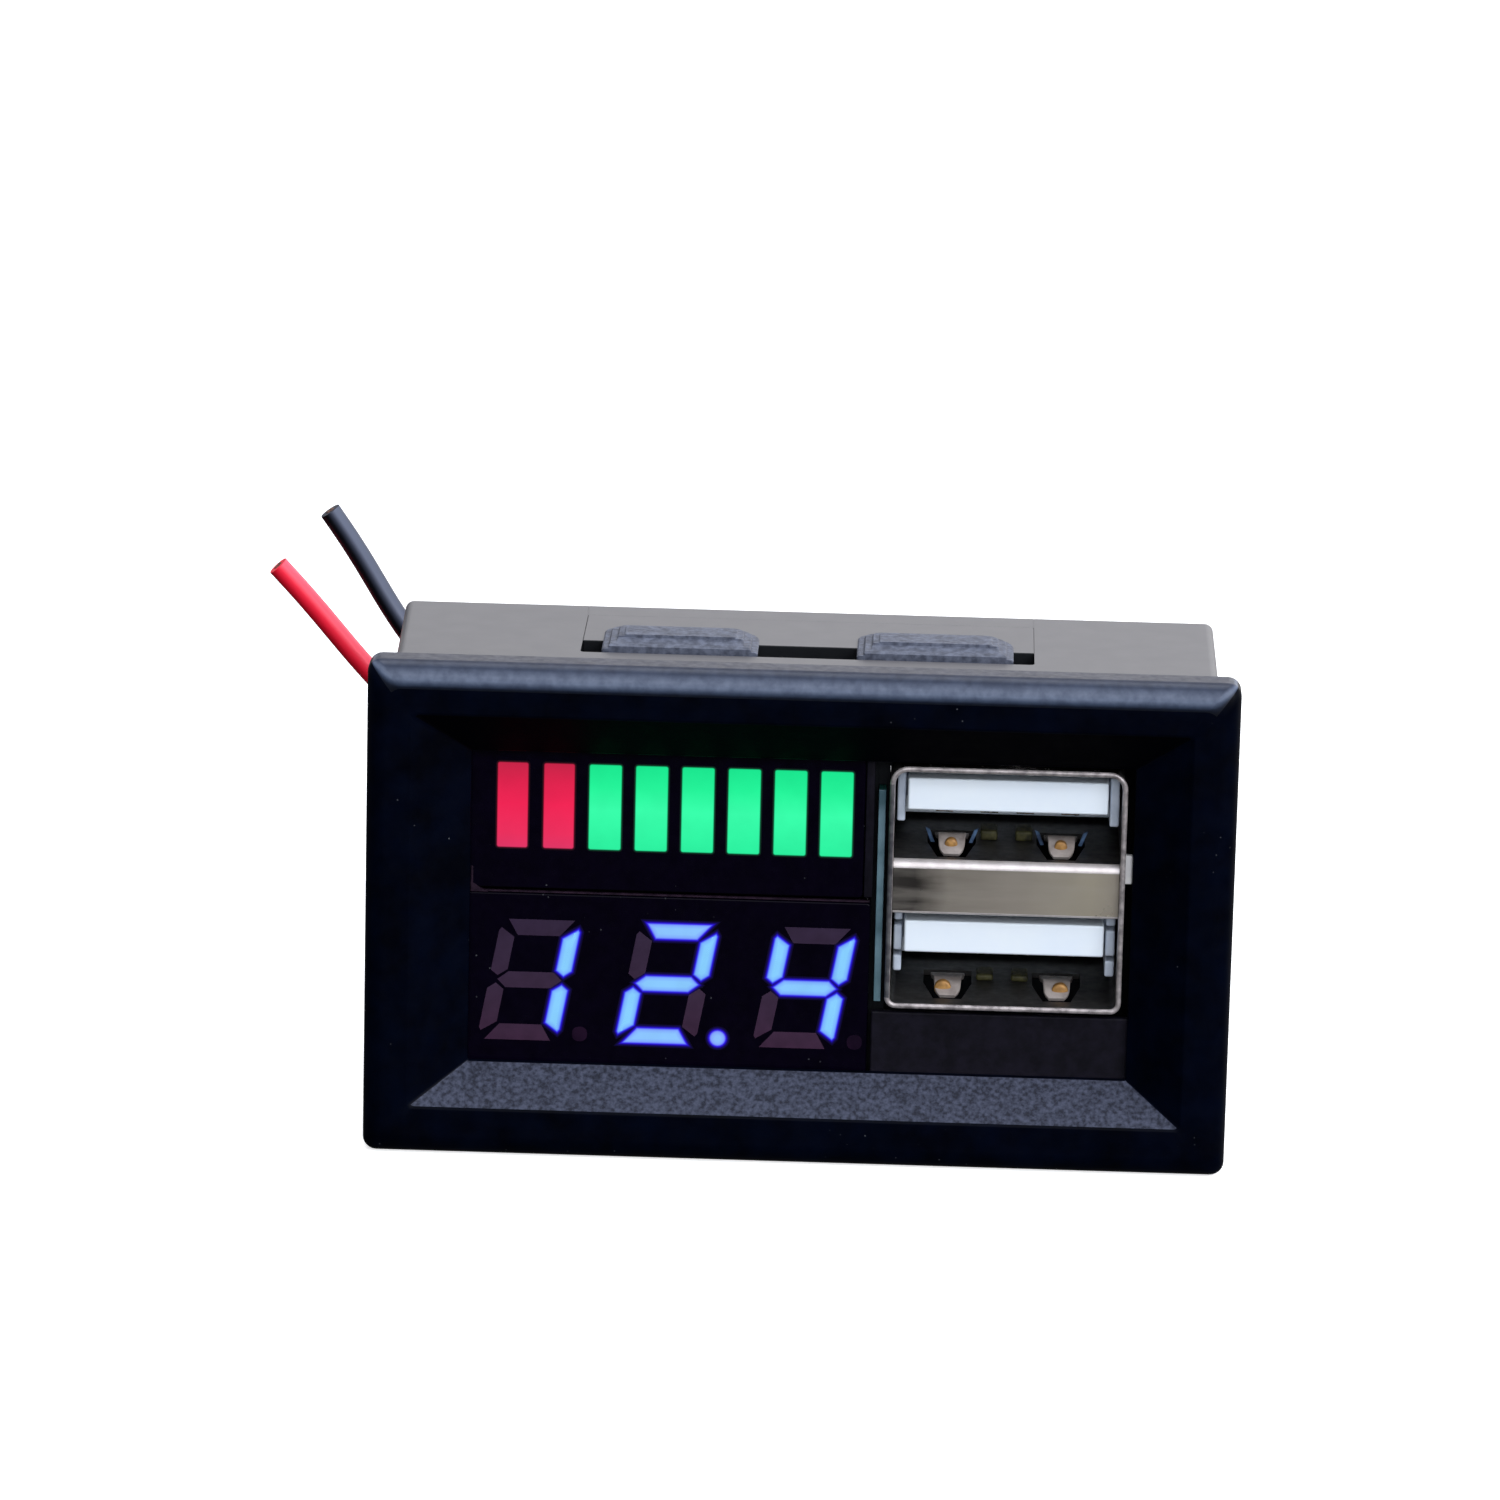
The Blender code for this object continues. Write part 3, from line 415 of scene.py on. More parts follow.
def blue_stroke():
    n = Nodes("stroke_lit_blue")
    s = n.shader
    lit = n.new("ShaderNodeAttribute", attribute_name="lit")
    tone = n.new("ShaderNodeAttribute", attribute_name="tone")
    cyan = n.ramp(lit.outputs["Fac"], [(0.0, (0, 0, 0)), (0.18, linear(12, 4, 70)),
                                       (0.42, linear(32, 12, 190)), (0.56, linear(52, 44, 240)),
                                       (0.74, linear(112, 158, 254)), (1.0, linear(134, 205, 253))])
    violet = n.ramp(lit.outputs["Fac"], [(0.0, (0, 0, 0)), (0.18, linear(14, 4, 76)),
                                         (0.42, linear(36, 12, 200)), (0.56, linear(64, 40, 244)),
                                         (0.74, linear(126, 146, 254)), (1.0, linear(142, 190, 254))])
    colour = n.mix(tone.outputs["Fac"], cyan, violet)
    n.link(colour, s.inputs["Emission Color"])
    n.link(n.spread(n.noise(700, 2), 0.96, 1.04), s.inputs["Emission Strength"])
    s.inputs["Base Color"].default_value = (0.003, 0.002, 0.006, 1)
    n.link(n.spread(n.noise(900, 2), 0.24, 0.34), s.inputs["Roughness"])
    s.inputs["Specular IOR Level"].default_value = 0.1
    return n.mat


BLUE = blue_stroke()


# ---------------------------------------------------------------- mesh building
class Shape:
    """Closed shells given in millimetres: across, behind the front face, above the middle."""

    def __init__(self):
        self.points, self.faces, self.mats, self.values = [], [], [], []

    def loft(self, rings, mats=0, caps=True, loop=False, values=None):
        """Rings of equal length joined by quads; mats is one index or one for each gap."""
        start, size = len(self.points), len(rings[0])
        for k, ring in enumerate(rings):
            self.points += [tuple(map(float, p)) for p in ring]
            self.values += [1.0 if values is None else values[k]] * size
        gaps = len(rings) if loop else len(rings) - 1
        for k in range(gaps):
            a, b = start + k * size, start + (k + 1) % len(rings) * size
            for i in range(size):
                j = (i + 1) % size
                self.faces.append((a + i, a + j, b + j, b + i))
                m = mats if isinstance(mats, int) else mats[k]
                self.mats.append(m(i) if callable(m) else m)
        if caps and not loop:
            first = mats if isinstance(mats, int) else mats[0]
            last = mats if isinstance(mats, int) else mats[-1]
            self.faces.append(tuple(reversed(range(start, start + size))))
            self.mats.append(first(0) if callable(first) else first)
            end = start + (len(rings) - 1) * size
            self.faces.append(tuple(range(end, end + size)))
            self.mats.append(last(0) if callable(last) else last)
        return self

    def box(self, x, d, h, edge=0.1, corner=None, axis="d", mat=0, steps=3, ends=(True, True)):
        """A block whose edges are all rounded: rounded rectangles stacked along axis."""
        spans = {"x": (x, d, h), "d": (d, x, h), "h": (h, x, d)}[axis]
        along, u, v = spans
        edge = min(edge, *[(s[1] - s[0]) * 0.45 for s in (along, u, v)])
        corner = edge if corner is None else corner
        levels = []
        for i in range(steps + 1):
            a = math.pi / 2 * i / steps
            levels.append((along[0] + edge * (1 - math.sin(a)), edge * (1 - math.cos(a))))
        levels = levels[::-1]
        for i in range(steps + 1):
            a = math.pi / 2 * i / steps
            levels.append((along[1] - edge * (1 - math.sin(a)), edge * (1 - math.cos(a))))
        rings = []
        for place, inset in levels:
            ring = rounded((u[0] + inset, u[1] - inset), (v[0] + inset, v[1] - inset),
                           max(corner - inset, 0.004), 4)
            rings.append([{"x": (place, a, b), "d": (a, place, b), "h": (a, b, place)}[axis]
                          for a, b in ring])
        return self.loft(rings, mat)

    def prism(self, outline, axis, span, mat=0):
        order = {"x": lambda u, v, w: (w, u, v), "d": lambda u, v, w: (u, w, v),
                 "h": lambda u, v, w: (u, v, w)}[axis]
        return self.loft([[order(u, v, w) for u, v in outline] for w in span], mat)

    def lathe(self, profile, centre, axis="d", sides=32, mat=0):
        """profile lists (along, radius); centre is a mm point and along is added to it."""
        rings = []
        for along, radius in profile:
            ring = []
            for i in range(sides):
                a = 2 * math.pi * i / sides
                c, s = radius * math.cos(a), radius * math.sin(a)
                x, d, h = centre
                ring.append({"d": (x + c, d + along, h + s), "x": (x + along, d + c, h + s),
                             "h": (x + c, d + s, h + along)}[axis])
            rings.append(ring)
        return self.loft(rings, mat)

    def strap(self, path, halves, thick, x, mat=0, chamfer=0.04):
        """A bent strip along (depth, height) points, as wide at each as halves says."""
        pts = np.array(path, float)
        way = np.gradient(pts, axis=0)
        way /= np.linalg.norm(way, axis=1)[:, None]
        side = np.stack([-way[:, 1], way[:, 0]], 1)
        rings = []
        t, c = thick / 2, chamfer
        for p, n, w in zip(pts, side, halves):
            ring = []
            for a, b in ((w, -t + c), (w, t - c), (w - c, t), (-w + c, t), (-w, t - c),
                         (-w, -t + c), (-w + c, -t), (w - c, -t)):
                ring.append((x + a, p[0] + n[0] * b, p[1] + n[1] * b))
            rings.append(ring)
        return self.loft(rings, mat)

    def object(self, name, materials, angle=38.0, weighted=True, attribute=False):
        bm = bmesh.new()
        layer = bm.verts.layers.float.new("lit") if attribute else None
        verts = [bm.verts.new(at(*p)) for p in self.points]
        if attribute:
            for v, value in zip(verts, self.values):
                v[layer] = value
        for face, m in zip(self.faces, self.mats):
            made = bm.faces.new([verts[i] for i in face])
            made.material_index = m
            made.smooth = True
        bmesh.ops.recalc_face_normals(bm, faces=bm.faces)
        mesh = bpy.data.meshes.new(name)
        bm.to_mesh(mesh)
        bm.free()
        for mat in materials:
            mesh.materials.append(mat)
        obj = bpy.data.objects.new(name, mesh)
        bpy.context.scene.collection.objects.link(obj)
        return shade(obj, angle, weighted)


def shade(obj, angle=38.0, weighted=True):
    obj.data.shade_smooth()
    obj.data.set_sharp_from_angle(angle=math.radians(angle))
    if weighted:
        step = obj.modifiers.new("weighted", "WEIGHTED_NORMAL")
        step.keep_sharp = True
        applied(obj)
    return obj


def applied(obj):
    bpy.context.view_layer.update()
    graph = bpy.context.evaluated_depsgraph_get()
    mesh = bpy.data.meshes.new_from_object(obj.evaluated_get(graph), depsgraph=graph)
    obj.modifiers.clear()
    old = obj.data
    obj.data = mesh
    mesh.name = old.name
    return obj


def paint(obj, pick):
    """Sets each face's finish from pick(x, d, h) at its middle, and leaves None alone."""
    for face in obj.data.polygons:
        c = face.center
        m = pick(c.x / MM, c.y / MM + DEPTH / 2, c.z / MM - HEIGHT / 2)
        if m is not None:
            face.material_index = m
    return obj


def carve(obj, shape, operation="DIFFERENCE", materials=()):
    """A Boolean with a Shape; obj's mesh is final afterwards."""
    tool = shape.object(obj.name + "_tool", materials or list(obj.data.materials), weighted=False)
    step = obj.modifiers.new("carve", "BOOLEAN")
    step.operation, step.solver, step.object = operation, "EXACT", tool
    applied(obj)
    bpy.data.objects.remove(tool)
    return obj


def rounded(x, h, r, steps=5):
    """Corner-rounded rectangle outline; r is one radius, or (lower, upper)."""
    low, top = r if isinstance(r, tuple) else (r, r)
    corners = [((x[1], h[0]), low, -90), ((x[1], h[1]), top, 0),
               ((x[0], h[1]), top, 90), ((x[0], h[0]), low, 180)]
    out = []
    for (cx, cz), radius, start in corners:
        sx = -1 if cx == x[1] else 1
        sz = -1 if cz == h[1] else 1
        for i in range(steps + 1):
            a = math.radians(start + 90 * i / steps)
            out.append((cx + sx * radius + radius * math.cos(a),
                        cz + sz * radius + radius * math.sin(a)))
    return out


def circle(cx, cz, r, sides=16):
    return [(cx + r * math.cos(2 * math.pi * i / sides),
             cz + r * math.sin(2 * math.pi * i / sides)) for i in range(sides)]


def offset(outline, gap):
    """A convex outline pushed outwards by gap (inwards when negative)."""
    pts = [np.array(p, float) for p in outline]
    area = sum(a[0] * b[1] - b[0] * a[1] for a, b in zip(pts, pts[1:] + pts[:1]))
    turn = 1 if area > 0 else -1
    out = []
    for i, p in enumerate(pts):
        a, b = p - pts[i - 1], pts[(i + 1) % len(pts)] - p
        a, b = a / np.linalg.norm(a), b / np.linalg.norm(b)
        n1, n2 = turn * np.array([a[1], -a[0]]), turn * np.array([b[1], -b[0]])
        n = n1 + n2
        n /= np.linalg.norm(n)
        out.append(tuple(p + n * gap / max(0.45, float(n @ n1))))
    return out


def eased(keys, count):
    """A smooth run of count points through keys, by cubic interpolation along the chord."""
    keys = np.array(keys, float)
    t = np.concatenate([[0], np.cumsum(np.linalg.norm(np.diff(keys, axis=0), axis=1))])
    slope = np.gradient(keys, t, axis=0)
    out = []
    for s in np.linspace(0, t[-1], count):
        i = min(int(np.searchsorted(t, s, side="right")) - 1, len(t) - 2)
        w = t[i + 1] - t[i]
        u = (s - t[i]) / w
        out.append((2 * u**3 - 3 * u**2 + 1) * keys[i] + (u**3 - 2 * u**2 + u) * w * slope[i]
                   + (3 * u**2 - 2 * u**3) * keys[i + 1] + (u**3 - u**2) * w * slope[i + 1])
    return np.array(out)


# ---------------------------------------------------------------- leads
RED_ROUTE = [(-18.2, 11.5, -2.2), (-18.2, 14.0, -2.35), (-18.25, 17.4, -2.3), (-18.5, 20.8, -1.5),
             (-19.6, 24.2, 0.3), (-21.6, 26.3, 2.5), (-23.8, 27.1, 4.7), (-26.15, 27.2, 6.85),
             (-27.8, 27.2, 8.95), (-29.5, 27.0, 11.2), (-31.25, 26.8, 13.0)]
BLACK_ROUTE = [(-15.5, 11.5, -2.2), (-15.5, 14.0, -2.1), (-15.6, 17.4, -1.3), (-16.3, 20.8, 0.6),
               (-18.0, 23.9, 3.2), (-20.6, 25.6, 6.0), (-22.9, 26.1, 8.4), (-24.3, 26.2, 9.95),
               (-25.6, 26.4, 12.6), (-26.6, 26.4, 14.35), (-28.2, 26.2, 16.5)]
LEAD_D = 1.25


def lead(name, node, route, mat):
    points = eased(route, 44)
    for _ in range(24):
        points[1:-1] = 0.25 * points[:-2] + 0.5 * points[1:-1] + 0.25 * points[2:]
    curve = bpy.data.curves.new(name, "CURVE")
    curve.dimensions = "3D"
    curve.bevel_depth = LEAD_D / 2 * MM
    curve.bevel_resolution = 7
    curve.use_fill_caps = True
    spline = curve.splines.new("POLY")
    spline.points.add(len(points) - 1)
    for point, p in zip(spline.points, points):
        point.co = (*at(*p), 1)
    spline.use_smooth = True
    curve.materials.append(mat)
    obj = bpy.data.objects.new(name, curve)
    bpy.context.scene.collection.objects.link(obj)
    # the cut end: copper strands a hair proud of the insulation
    end, way = points[-1], points[-1] - points[-2]
    way = Vector(way / np.linalg.norm(way))
    side = way.cross(Vector((0, 1, 0))).normalized()
    other = way.cross(side)
    strands = Shape()
    places = [(0, 0)] + [(0.2 * math.cos(a), 0.2 * math.sin(a))
                         for a in np.linspace(0, 2 * math.pi, 7)[:-1]]
    for k, (u, v) in enumerate(places):
        rings = []
        for along, radius in ((-0.5, 0.09), (0.01 + 0.015 * (k % 3), 0.09), (0.03 + 0.015 * (k % 3), 0.06)):
            rings.append([tuple(Vector(end) + way * along + side * (u + radius * math.cos(a))
                                + other * (v + radius * math.sin(a)))
                          for a in np.linspace(0, 2 * math.pi, 11)[:-1]])
        strands.loft(rings)
    tips = strands.object(name + "_strands", [STRAND], weighted=False)
    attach(tips, "meter")
    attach(obj, "meter")
    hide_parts(node)


lead("red_wire", "red_lead", RED_ROUTE, RED_PVC)
lead("black_wire", "black_lead", BLACK_ROUTE, BLACK_PVC)


def put(obj, slot, *nodes, body="meter"):
    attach(obj, body)
    if nodes:
        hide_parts(*nodes)
    return obj


# ---------------------------------------------------------------- housing
WIDTH, FLANGE, ROUND = 48.0, 2.4, 0.9
BODY_W, BODY_H, WALL = 45.8, 26.1, 1.2
MOUTH = ((-21.4, 21.4), (-11.35, 11.15))
FLOOR = ((-18.3, 18.4), (-9.2, 8.7))
LATCH_HALF, SLIT, SLOT_FRONT, TONGUE_ROOT = 12.37, 0.3, 7.9, 16.4
CORNERS = 6


def grown(box, by):
    return ((box[0][0] - by, box[0][1] + by), (box[1][0] - by, box[1][1] + by))


def housing():
    rings, mats = [], []

    def ring(d, box, radius, mat):
        rings.append([(u, d, v) for u, v in rounded(box[0], box[1], radius, CORNERS)])
        mats.append(mat)

    outer = ((-WIDTH / 2, WIDTH / 2), (-HEIGHT / 2, HEIGHT / 2))
    sleeve = ((-BODY_W / 2, BODY_W / 2), (-BODY_H / 2, BODY_H / 2))
    inner = ((-BODY_W / 2 + WALL, BODY_W / 2 - WALL), (-BODY_H / 2 + WALL, BODY_H / 2 - WALL))
    # materials: 0 bezel, 1 rim with painted highlight, 2 sleeve, 3 lower slope with painted light, 4 inside in painted
    # shade, 5 upper slope in painted shade; the rim's painted highlight is on the top edge
    per = CORNERS + 1

    def side(upper, lower):
        """One finish for the top run of the ring and another for the rest."""
        def pick(i):
            return upper if 2 * per - 2 <= i <= 2 * per else lower
        return pick

    # the rim's painted highlight runs along the top of the flange's rounding
    upper = lambda i: 1 if per + 3 <= i <= 3 * per - 5 else 0
    ring(FLANGE, grown(outer, -0.12), 0.66, upper)
    ring(FLANGE - 0.04, grown(outer, -0.03), 0.72, upper)
    ring(FLANGE - 0.12, outer, 0.75, upper)
    turns = 16
    for i in range(turns + 1):
        a = math.pi / 2 * i / turns
        low, high = -1.15 * (1 - math.cos(a)), -1.50 * (1 - math.cos(a))
        ring(ROUND * (1 - math.sin(a)), ((outer[0][0] - low, outer[0][1] + low), (outer[1][0] - low, outer[1][1] + high)),
             0.75, upper if i < turns else 0)
    # rounded edge of the mouth, slopes, window and lip
    for over, d in ((0.16, 0.0), (0.06, 0.025), (-0.02, 0.09)):
        ring(d, grown(MOUTH, over), 0.3, 0)
    # the lower slope takes the painted-light finish, the upper slope the painted-shade finish
    mats[-1] = lambda i: 3 if (3 * per + per // 2 <= i or i < per // 2) else 5 if 2 * per - 4 <= i <= 2 * per + 2 else 0
    ring(2.16, grown(FLOOR, 0.04), 0.12, 0)
    ring(2.22, FLOOR, 0.10, 0)
    ring(2.5, FLOOR, 0.10, 4)
    ring(2.5, grown(inner, -0.01), 0.15, 4)
    ring(DEPTH - 0.12, inner, 0.20, 2)
    ring(DEPTH, grown(inner, 0.12), 0.25, 2)
    rear = ((sleeve[0][0] - 0.32, sleeve[0][1]), sleeve[1])
    ring(DEPTH, grown(rear, -0.15), 0.40, 2)
    ring(DEPTH - 0.04, grown(rear, -0.04), 0.46, 2)
    ring(DEPTH - 0.15, rear, 0.5, 2)
    ring(7.6, sleeve, 0.5, 2)
    ring(FLANGE, sleeve, 0.5, side(1, 0))
    shape = Shape().loft(rings, mats, loop=True)
    body = shape.object("bezel_and_sleeve", [BEZEL, RIM, SLEEVE, LIT_SLOPE, INSIDE, SHADE], weighted=False)

    half = LATCH_HALF + SLIT
    openings = Shape()
    for low, high in ((BODY_H / 2 - 2, BODY_H / 2 + 1), (-BODY_H / 2 - 1, -BODY_H / 2 + 2)):
        outline = rounded((-half, half), (SLOT_FRONT, TONGUE_ROOT + SLIT), 0.25, 4)
        openings.prism(outline, "h", (low, high), 4)
    carve(body, openings)
    # two fine mould lines run on from the slits to the rear edge
    lines = Shape()
    for x in (-12.70, 12.66):
        lines.prism([(x - 0.03, 16.75), (x + 0.03, 16.75), (x + 0.03, 20.0), (x - 0.03, 20.0)],
                    "h", (BODY_H / 2 - 0.02, BODY_H / 2 + 1), 2)
    carve(body, lines)
    ribs = Shape()
    ix, iz = BODY_W / 2 - WALL, BODY_H / 2 - WALL
    for z in (-9.6, 7.2):
        ribs.box((-ix - 0.4, -19.9), (7.9, 8.9), (z, z + 2.4), 0.12, mat=4)
        ribs.box((-ix - 0.4, -20.3), (10.5, 11.3), (z, z + 2.4), 0.2, mat=4)
    for x in (3.25, 4.95):
        for z in ((-iz - 0.4, -9.9), (9.9, iz + 0.4)):
            ribs.box((x, x + 0.7), (16.9, DEPTH - 0.4), z, 0.12, mat=4)
    carve(body, ribs, "UNION")
    shade(body, 34)
    put(body, "black_abs", "housing")

    # the sill under the sockets, set back behind the foot of the slope
    sill = Shape().box((4.15, 19.6), (2.52, 3.1), (-10.4, -5.75), 0.10)
    put(sill.object("sill_plate", [SILL]), "black_abs")


housing()


# ---------------------------------------------------------------- snap tongues
PLATE_HALF = 12.66                              # leaves a fine parting line to the sleeve


def latch(name, node, side):
    """A sprung plate with two pads, each a mound of four low terraces."""
    outer, inner = BODY_H / 2, BODY_H / 2 - WALL

    def flip(rings):
        return [[(x, d, side * h) for x, d, h in ring] for ring in rings]

    shape = Shape()
    # plate, finely divided along its depth, most finely at its root
    rows = np.concatenate([[10.6], np.linspace(10.65, 15.8, 6), np.linspace(16.0, 16.69, 8)])
    rings = []
    for d in rows:
        inset = 0.04 if d == rows[0] else 0.0
        rings.append([(x, d, h) for x, h in rounded((-PLATE_HALF + inset, PLATE_HALF - inset),
                                                    (inner + inset, outer - inset), 0.06, 2)])
    # painted shade: the plate's front end takes the inside finish
    shape.loft(flip(rings), [2] + [0] * (len(rows) - 2))
    shape.mats[-2] = 2
    for low, high in ((-11.5, -2.78), (2.75, 11.5)):
        terraces = [(-1.15, 0.30), (-0.10, 0.0), (0.06, 0.0), (0.15, 0.10), (0.17, 0.34),
                    (0.18, 0.42), (0.30, 0.46), (0.37, 0.54), (0.38, 0.86), (0.40, 0.94),
                    (0.54, 0.98), (0.60, 1.06), (0.61, 1.34), (0.63, 1.42), (0.69, 1.48), (0.70, 1.62)]
        rings = []
        for rise, inset in terraces:
            rear = 13.4 - inset * 1.30
            front = 8.2 + (0.0 if rise < 0.35 else 1.25 * min(1.0, (rise - 0.35) / 0.1))
            x0, x1 = low + inset * 0.85, high - inset * 0.85
            r = max(1.9 - inset, 0.3)
            ring = []
            for (cx, cd), radius, start in (((x1, front), 0.12, -90), ((x1, rear), r, 0),
                                            ((x0, rear), r * 0.5, 90), ((x0, front), 0.12, 180)):
                sx, sd = (-1 if cx == x1 else 1), (-1 if cd == rear else 1)
                for i in range(7):
                    a = math.radians(start + 90 * i / 6)
                    ring.append((cx + sx * radius + radius * math.cos(a),
                                 cd + sd * radius + radius * math.sin(a), outer + rise))
            rings.append(ring)
        shape.loft(flip(rings), 1)
    obj = shape.object(name, [SLEEVE, PAD, INSIDE], 30)
    # painted shade on the plate's cut front and its underside
    paint(obj, lambda x, d, h: 2 if (d < 10.62 and side * h < outer - 0.02) or side * h < inner + 0.03 else None)
    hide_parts(node)
    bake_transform(obj)
    return obj


latch("top_snap_tongue", "top_latch", 1)
latch("bottom_snap_tongue", "bottom_latch", -1)


# ---------------------------------------------------------------- displays
FACE = 2.8
MODULE_X = (-18.75, 3.95)
BAR_Z, DIGIT_Z = (0.7, 9.8), (-9.6, 0.4)
BAR_FIRST, BAR_PITCH, BAR_MID = -16.02, 2.566, 5.56
DIGIT_FIRST, DIGIT_PITCH, DIGIT_MID = -14.93, 7.67, -4.60
DIGIT_W, DIGIT_H, STROKE_H, STROKE_V = 4.52, 7.0, 0.92, 0.92
SLANT = math.radians(10.5)


def case(name, node, x, z, corner, slot):
    """A case with rounded front edges, open behind for its own small board."""
    shape = Shape().box(x, (FACE, 7.0 + 1.7), z, 0.10, corner=corner)
    obj = shape.object(name, [FACE_BLACK], weighted=False)
    hollow = Shape().box((x[0] + 0.6, x[1] - 0.35), (FACE + 0.9, 12), (z[0] + 0.6, z[1] - 0.6), 0.05)
    carve(obj, hollow)
    shade(obj, 34)
    return put(obj, slot, node)


case("bar_display", "bar_display_case", (MODULE_X[0], 3.5), BAR_Z, 0.25, "display_black")
case("digit_display", "digit_display_case", MODULE_X, DIGIT_Z, 0.2, "display_black")

# the paler edge strips: between the modules, up the left side, and right of the bars
seam = Shape()
seam.box((-18.2, 3.9), (FACE - 0.02, FACE + 0.3), (0.455, 0.535), 0.02, mat=0)
seam.box((-18.28, -18.16), (FACE - 0.03, FACE + 0.3), (0.5, 1.9), 0.03, mat=0)
seam.loft([[(x, d, h) for x, h in ((-18.28, 0.44), (-17.3, 0.44), (-17.75, 0.62), (-18.0, 0.85),
                                   (-18.28, 1.0))] for d in (FACE - 0.035, FACE + 0.2)], 0)
seam.box((3.56, 4.02), (FACE - 0.01, FACE + 1.6), (0.75, 9.3), 0.05, mat=1)
put(seam.object("module_seams", [SEAM, SILL], weighted=False), "display_black")
# dark blocks of painted shade fill the gap between the modules and the upright board, and close off the space behind
# the outlet
shade_fill = Shape().box((3.92, 4.24), (FACE + 1.2, FACE + 4.0), (-10.6, 10.4), 0.06)
shade_fill.box((4.67, 4.835), (FACE + 1.2, FACE + 4.0), (-10.6, 10.4), 0.03)
for z0, z1 in ((6.94, 11.2), (-11.2, -5.34)):
    shade_fill.box((4.2, 4.72), (FACE + 1.2, FACE + 4.0), (z0, z1), 0.03)
shade_fill.box((4.67, 20.6), (9.0, 11.0), (8.56, 11.2), 0.06)
shade_fill.box((4.67, 4.95), (13.0, 14.1), (8.02, 8.9), 0.03)
shade_fill.box((4.84, 4.95), (FACE + 1.2, FACE + 4.0), (8.02, 8.28), 0.02)
shade_fill.box((4.84, 5.10), (FACE + 1.2, FACE + 4.0), (8.30, 11.2), 0.03)
shade_fill.box((4.8, 20.6), (9.0, 11.0), (-11.2, -5.46), 0.06)
shade_fill.box((18.06, 20.6), (9.0, 11.0), (-5.46, 8.56), 0.06)
put(shade_fill.object("shade_fill_blocks", [INSIDE]), "black_abs")


def window_piece(shape, outline, front, lit=True, mat=0, halo=0.14):
    """A flush lens: its face, a soft rim of glow round it, and sides into the case."""
    if lit:
        rings = [offset(outline, halo), offset(outline, halo * 0.45), outline,
                 offset(outline, -0.12), offset(outline, -0.3)]
        values = [0.0, 0.22, 0.56, 0.86, 1.0]
        depths = [front, front - 0.002, front - 0.004, front - 0.006, front - 0.006]
    else:
        rings = [outline, offset(outline, -0.06)]
        values, depths = [0, 0], [front + 0.0, front - 0.004]
    body = [[(u, front + 0.25, v) for u, v in rings[0]]]
    body += [[(u, d, v) for u, v in ring] for ring, d in zip(rings, depths)]
    return shape.loft(body, mat, values=[values[0]] + values)


def bars(name, node, first, last, mat, slot, width):
    shape = Shape()
    for i in range(first, last):
        x = BAR_FIRST + i * BAR_PITCH
        outline = rounded((x - width / 2, x + width / 2), (BAR_MID - 2.5, BAR_MID + 2.33), 0.10, 3)
        rings = [offset(outline, 0.13), offset(outline, 0.05), outline, offset(outline, -0.04)]
        values, depths = [0.0, 0.45, 0.75, 1.0], [FACE - 0.01] * 2 + [FACE - 0.014] * 2
        body = [[(u, FACE + 0.25, v) for u, v in rings[0]]]
        body += [[(u, d, v) for u, v in ring] for ring, d in zip(rings, depths)]
        shape.loft(body, 0, values=[0.0] + values)
    put(shape.object(name, [mat], weighted=False, attribute=True), slot, node)


bars("bars_red", "bar_lens_red", 0, 2, RED_BAR, "lens_red", 1.66)
bars("bars_green", "bar_lens_green", 2, 8, GREEN_BAR, "lens_green", 1.75)


def strokes():
    """The seven strokes of a digit by name, upright, about its middle."""
    w, h, t, s, g = DIGIT_W / 2, DIGIT_H / 2, STROKE_H, STROKE_V, 0.12
    top = [(-w + 0.30 + g, h), (w - 0.30 - g, h), (w - s - 0.05 - g, h - t), (-w + s + 0.05 + g, h - t)]
    middle = [(-w + 0.35 + g, 0), (-w + s - 0.05 + g, t / 2), (w - s + 0.05 - g, t / 2),
              (w - 0.35 - g, 0), (w - s + 0.05 - g, -t / 2), (-w + s - 0.05 + g, -t / 2)]
    right = [(w, h - 0.55 - g), (w - 0.12, h - 0.38 - g), (w - s, h - t - g),
             (w - s, t / 2 + g), (w - 0.42, 0.10 + g), (w, 0.42 + g)]
    return {"a": top, "g": middle, "d": [(u, -v) for u, v in top], "b": right,
            "c": [(u, -v) for u, v in right], "f": [(-u, v) for u, v in right],
            "e": [(-u, -v) for u, v in right]}


def digits():
    shape = Shape()
    tones = []
    for i, lit in enumerate(("bc", "abged", "fgbc")):
        cx = DIGIT_FIRST + i * DIGIT_PITCH
        for key, outline in strokes().items():
            outline = [(cx + u + v * math.tan(SLANT), DIGIT_MID + v) for u, v in outline]
            before = len(shape.points)
            if key in lit:
                window_piece(shape, offset(outline, -0.015), FACE - 0.01, True, 0, 0.24)
            else:
                window_piece(shape, outline, FACE - 0.01, False, 1)
            tones += [0.6 if key in "ad" else 0.3 if key == "g" else 0.0] * (len(shape.points) - before)
        before = len(shape.points)
        if i == 1:
            window_piece(shape, circle(cx + 2.88, DIGIT_MID - 3.06, 0.46, 20), FACE - 0.01, True, 0, 0.24)
        else:
            window_piece(shape, rounded((cx + 2.42, cx + 3.26), (DIGIT_MID - 3.48, DIGIT_MID - 2.64), 0.36, 4),
                         FACE - 0.01, False, 2)
        tones += [0.9] * (len(shape.points) - before)
    obj = shape.object("digit_strokes", [BLUE, PLUM, SEAM_DIM], weighted=False, attribute=True)
    tone = obj.data.attributes.new("tone", "FLOAT", "POINT")
    tone.data.foreach_set("value", np.array(tones, np.float32))
    put(obj, "lens_blue", "digit_lens")


SEAM_DIM = finish("point_unlit", linear(30, 14, 34), 0.5, linear(18, 8, 24), spec=0.05)
digits()


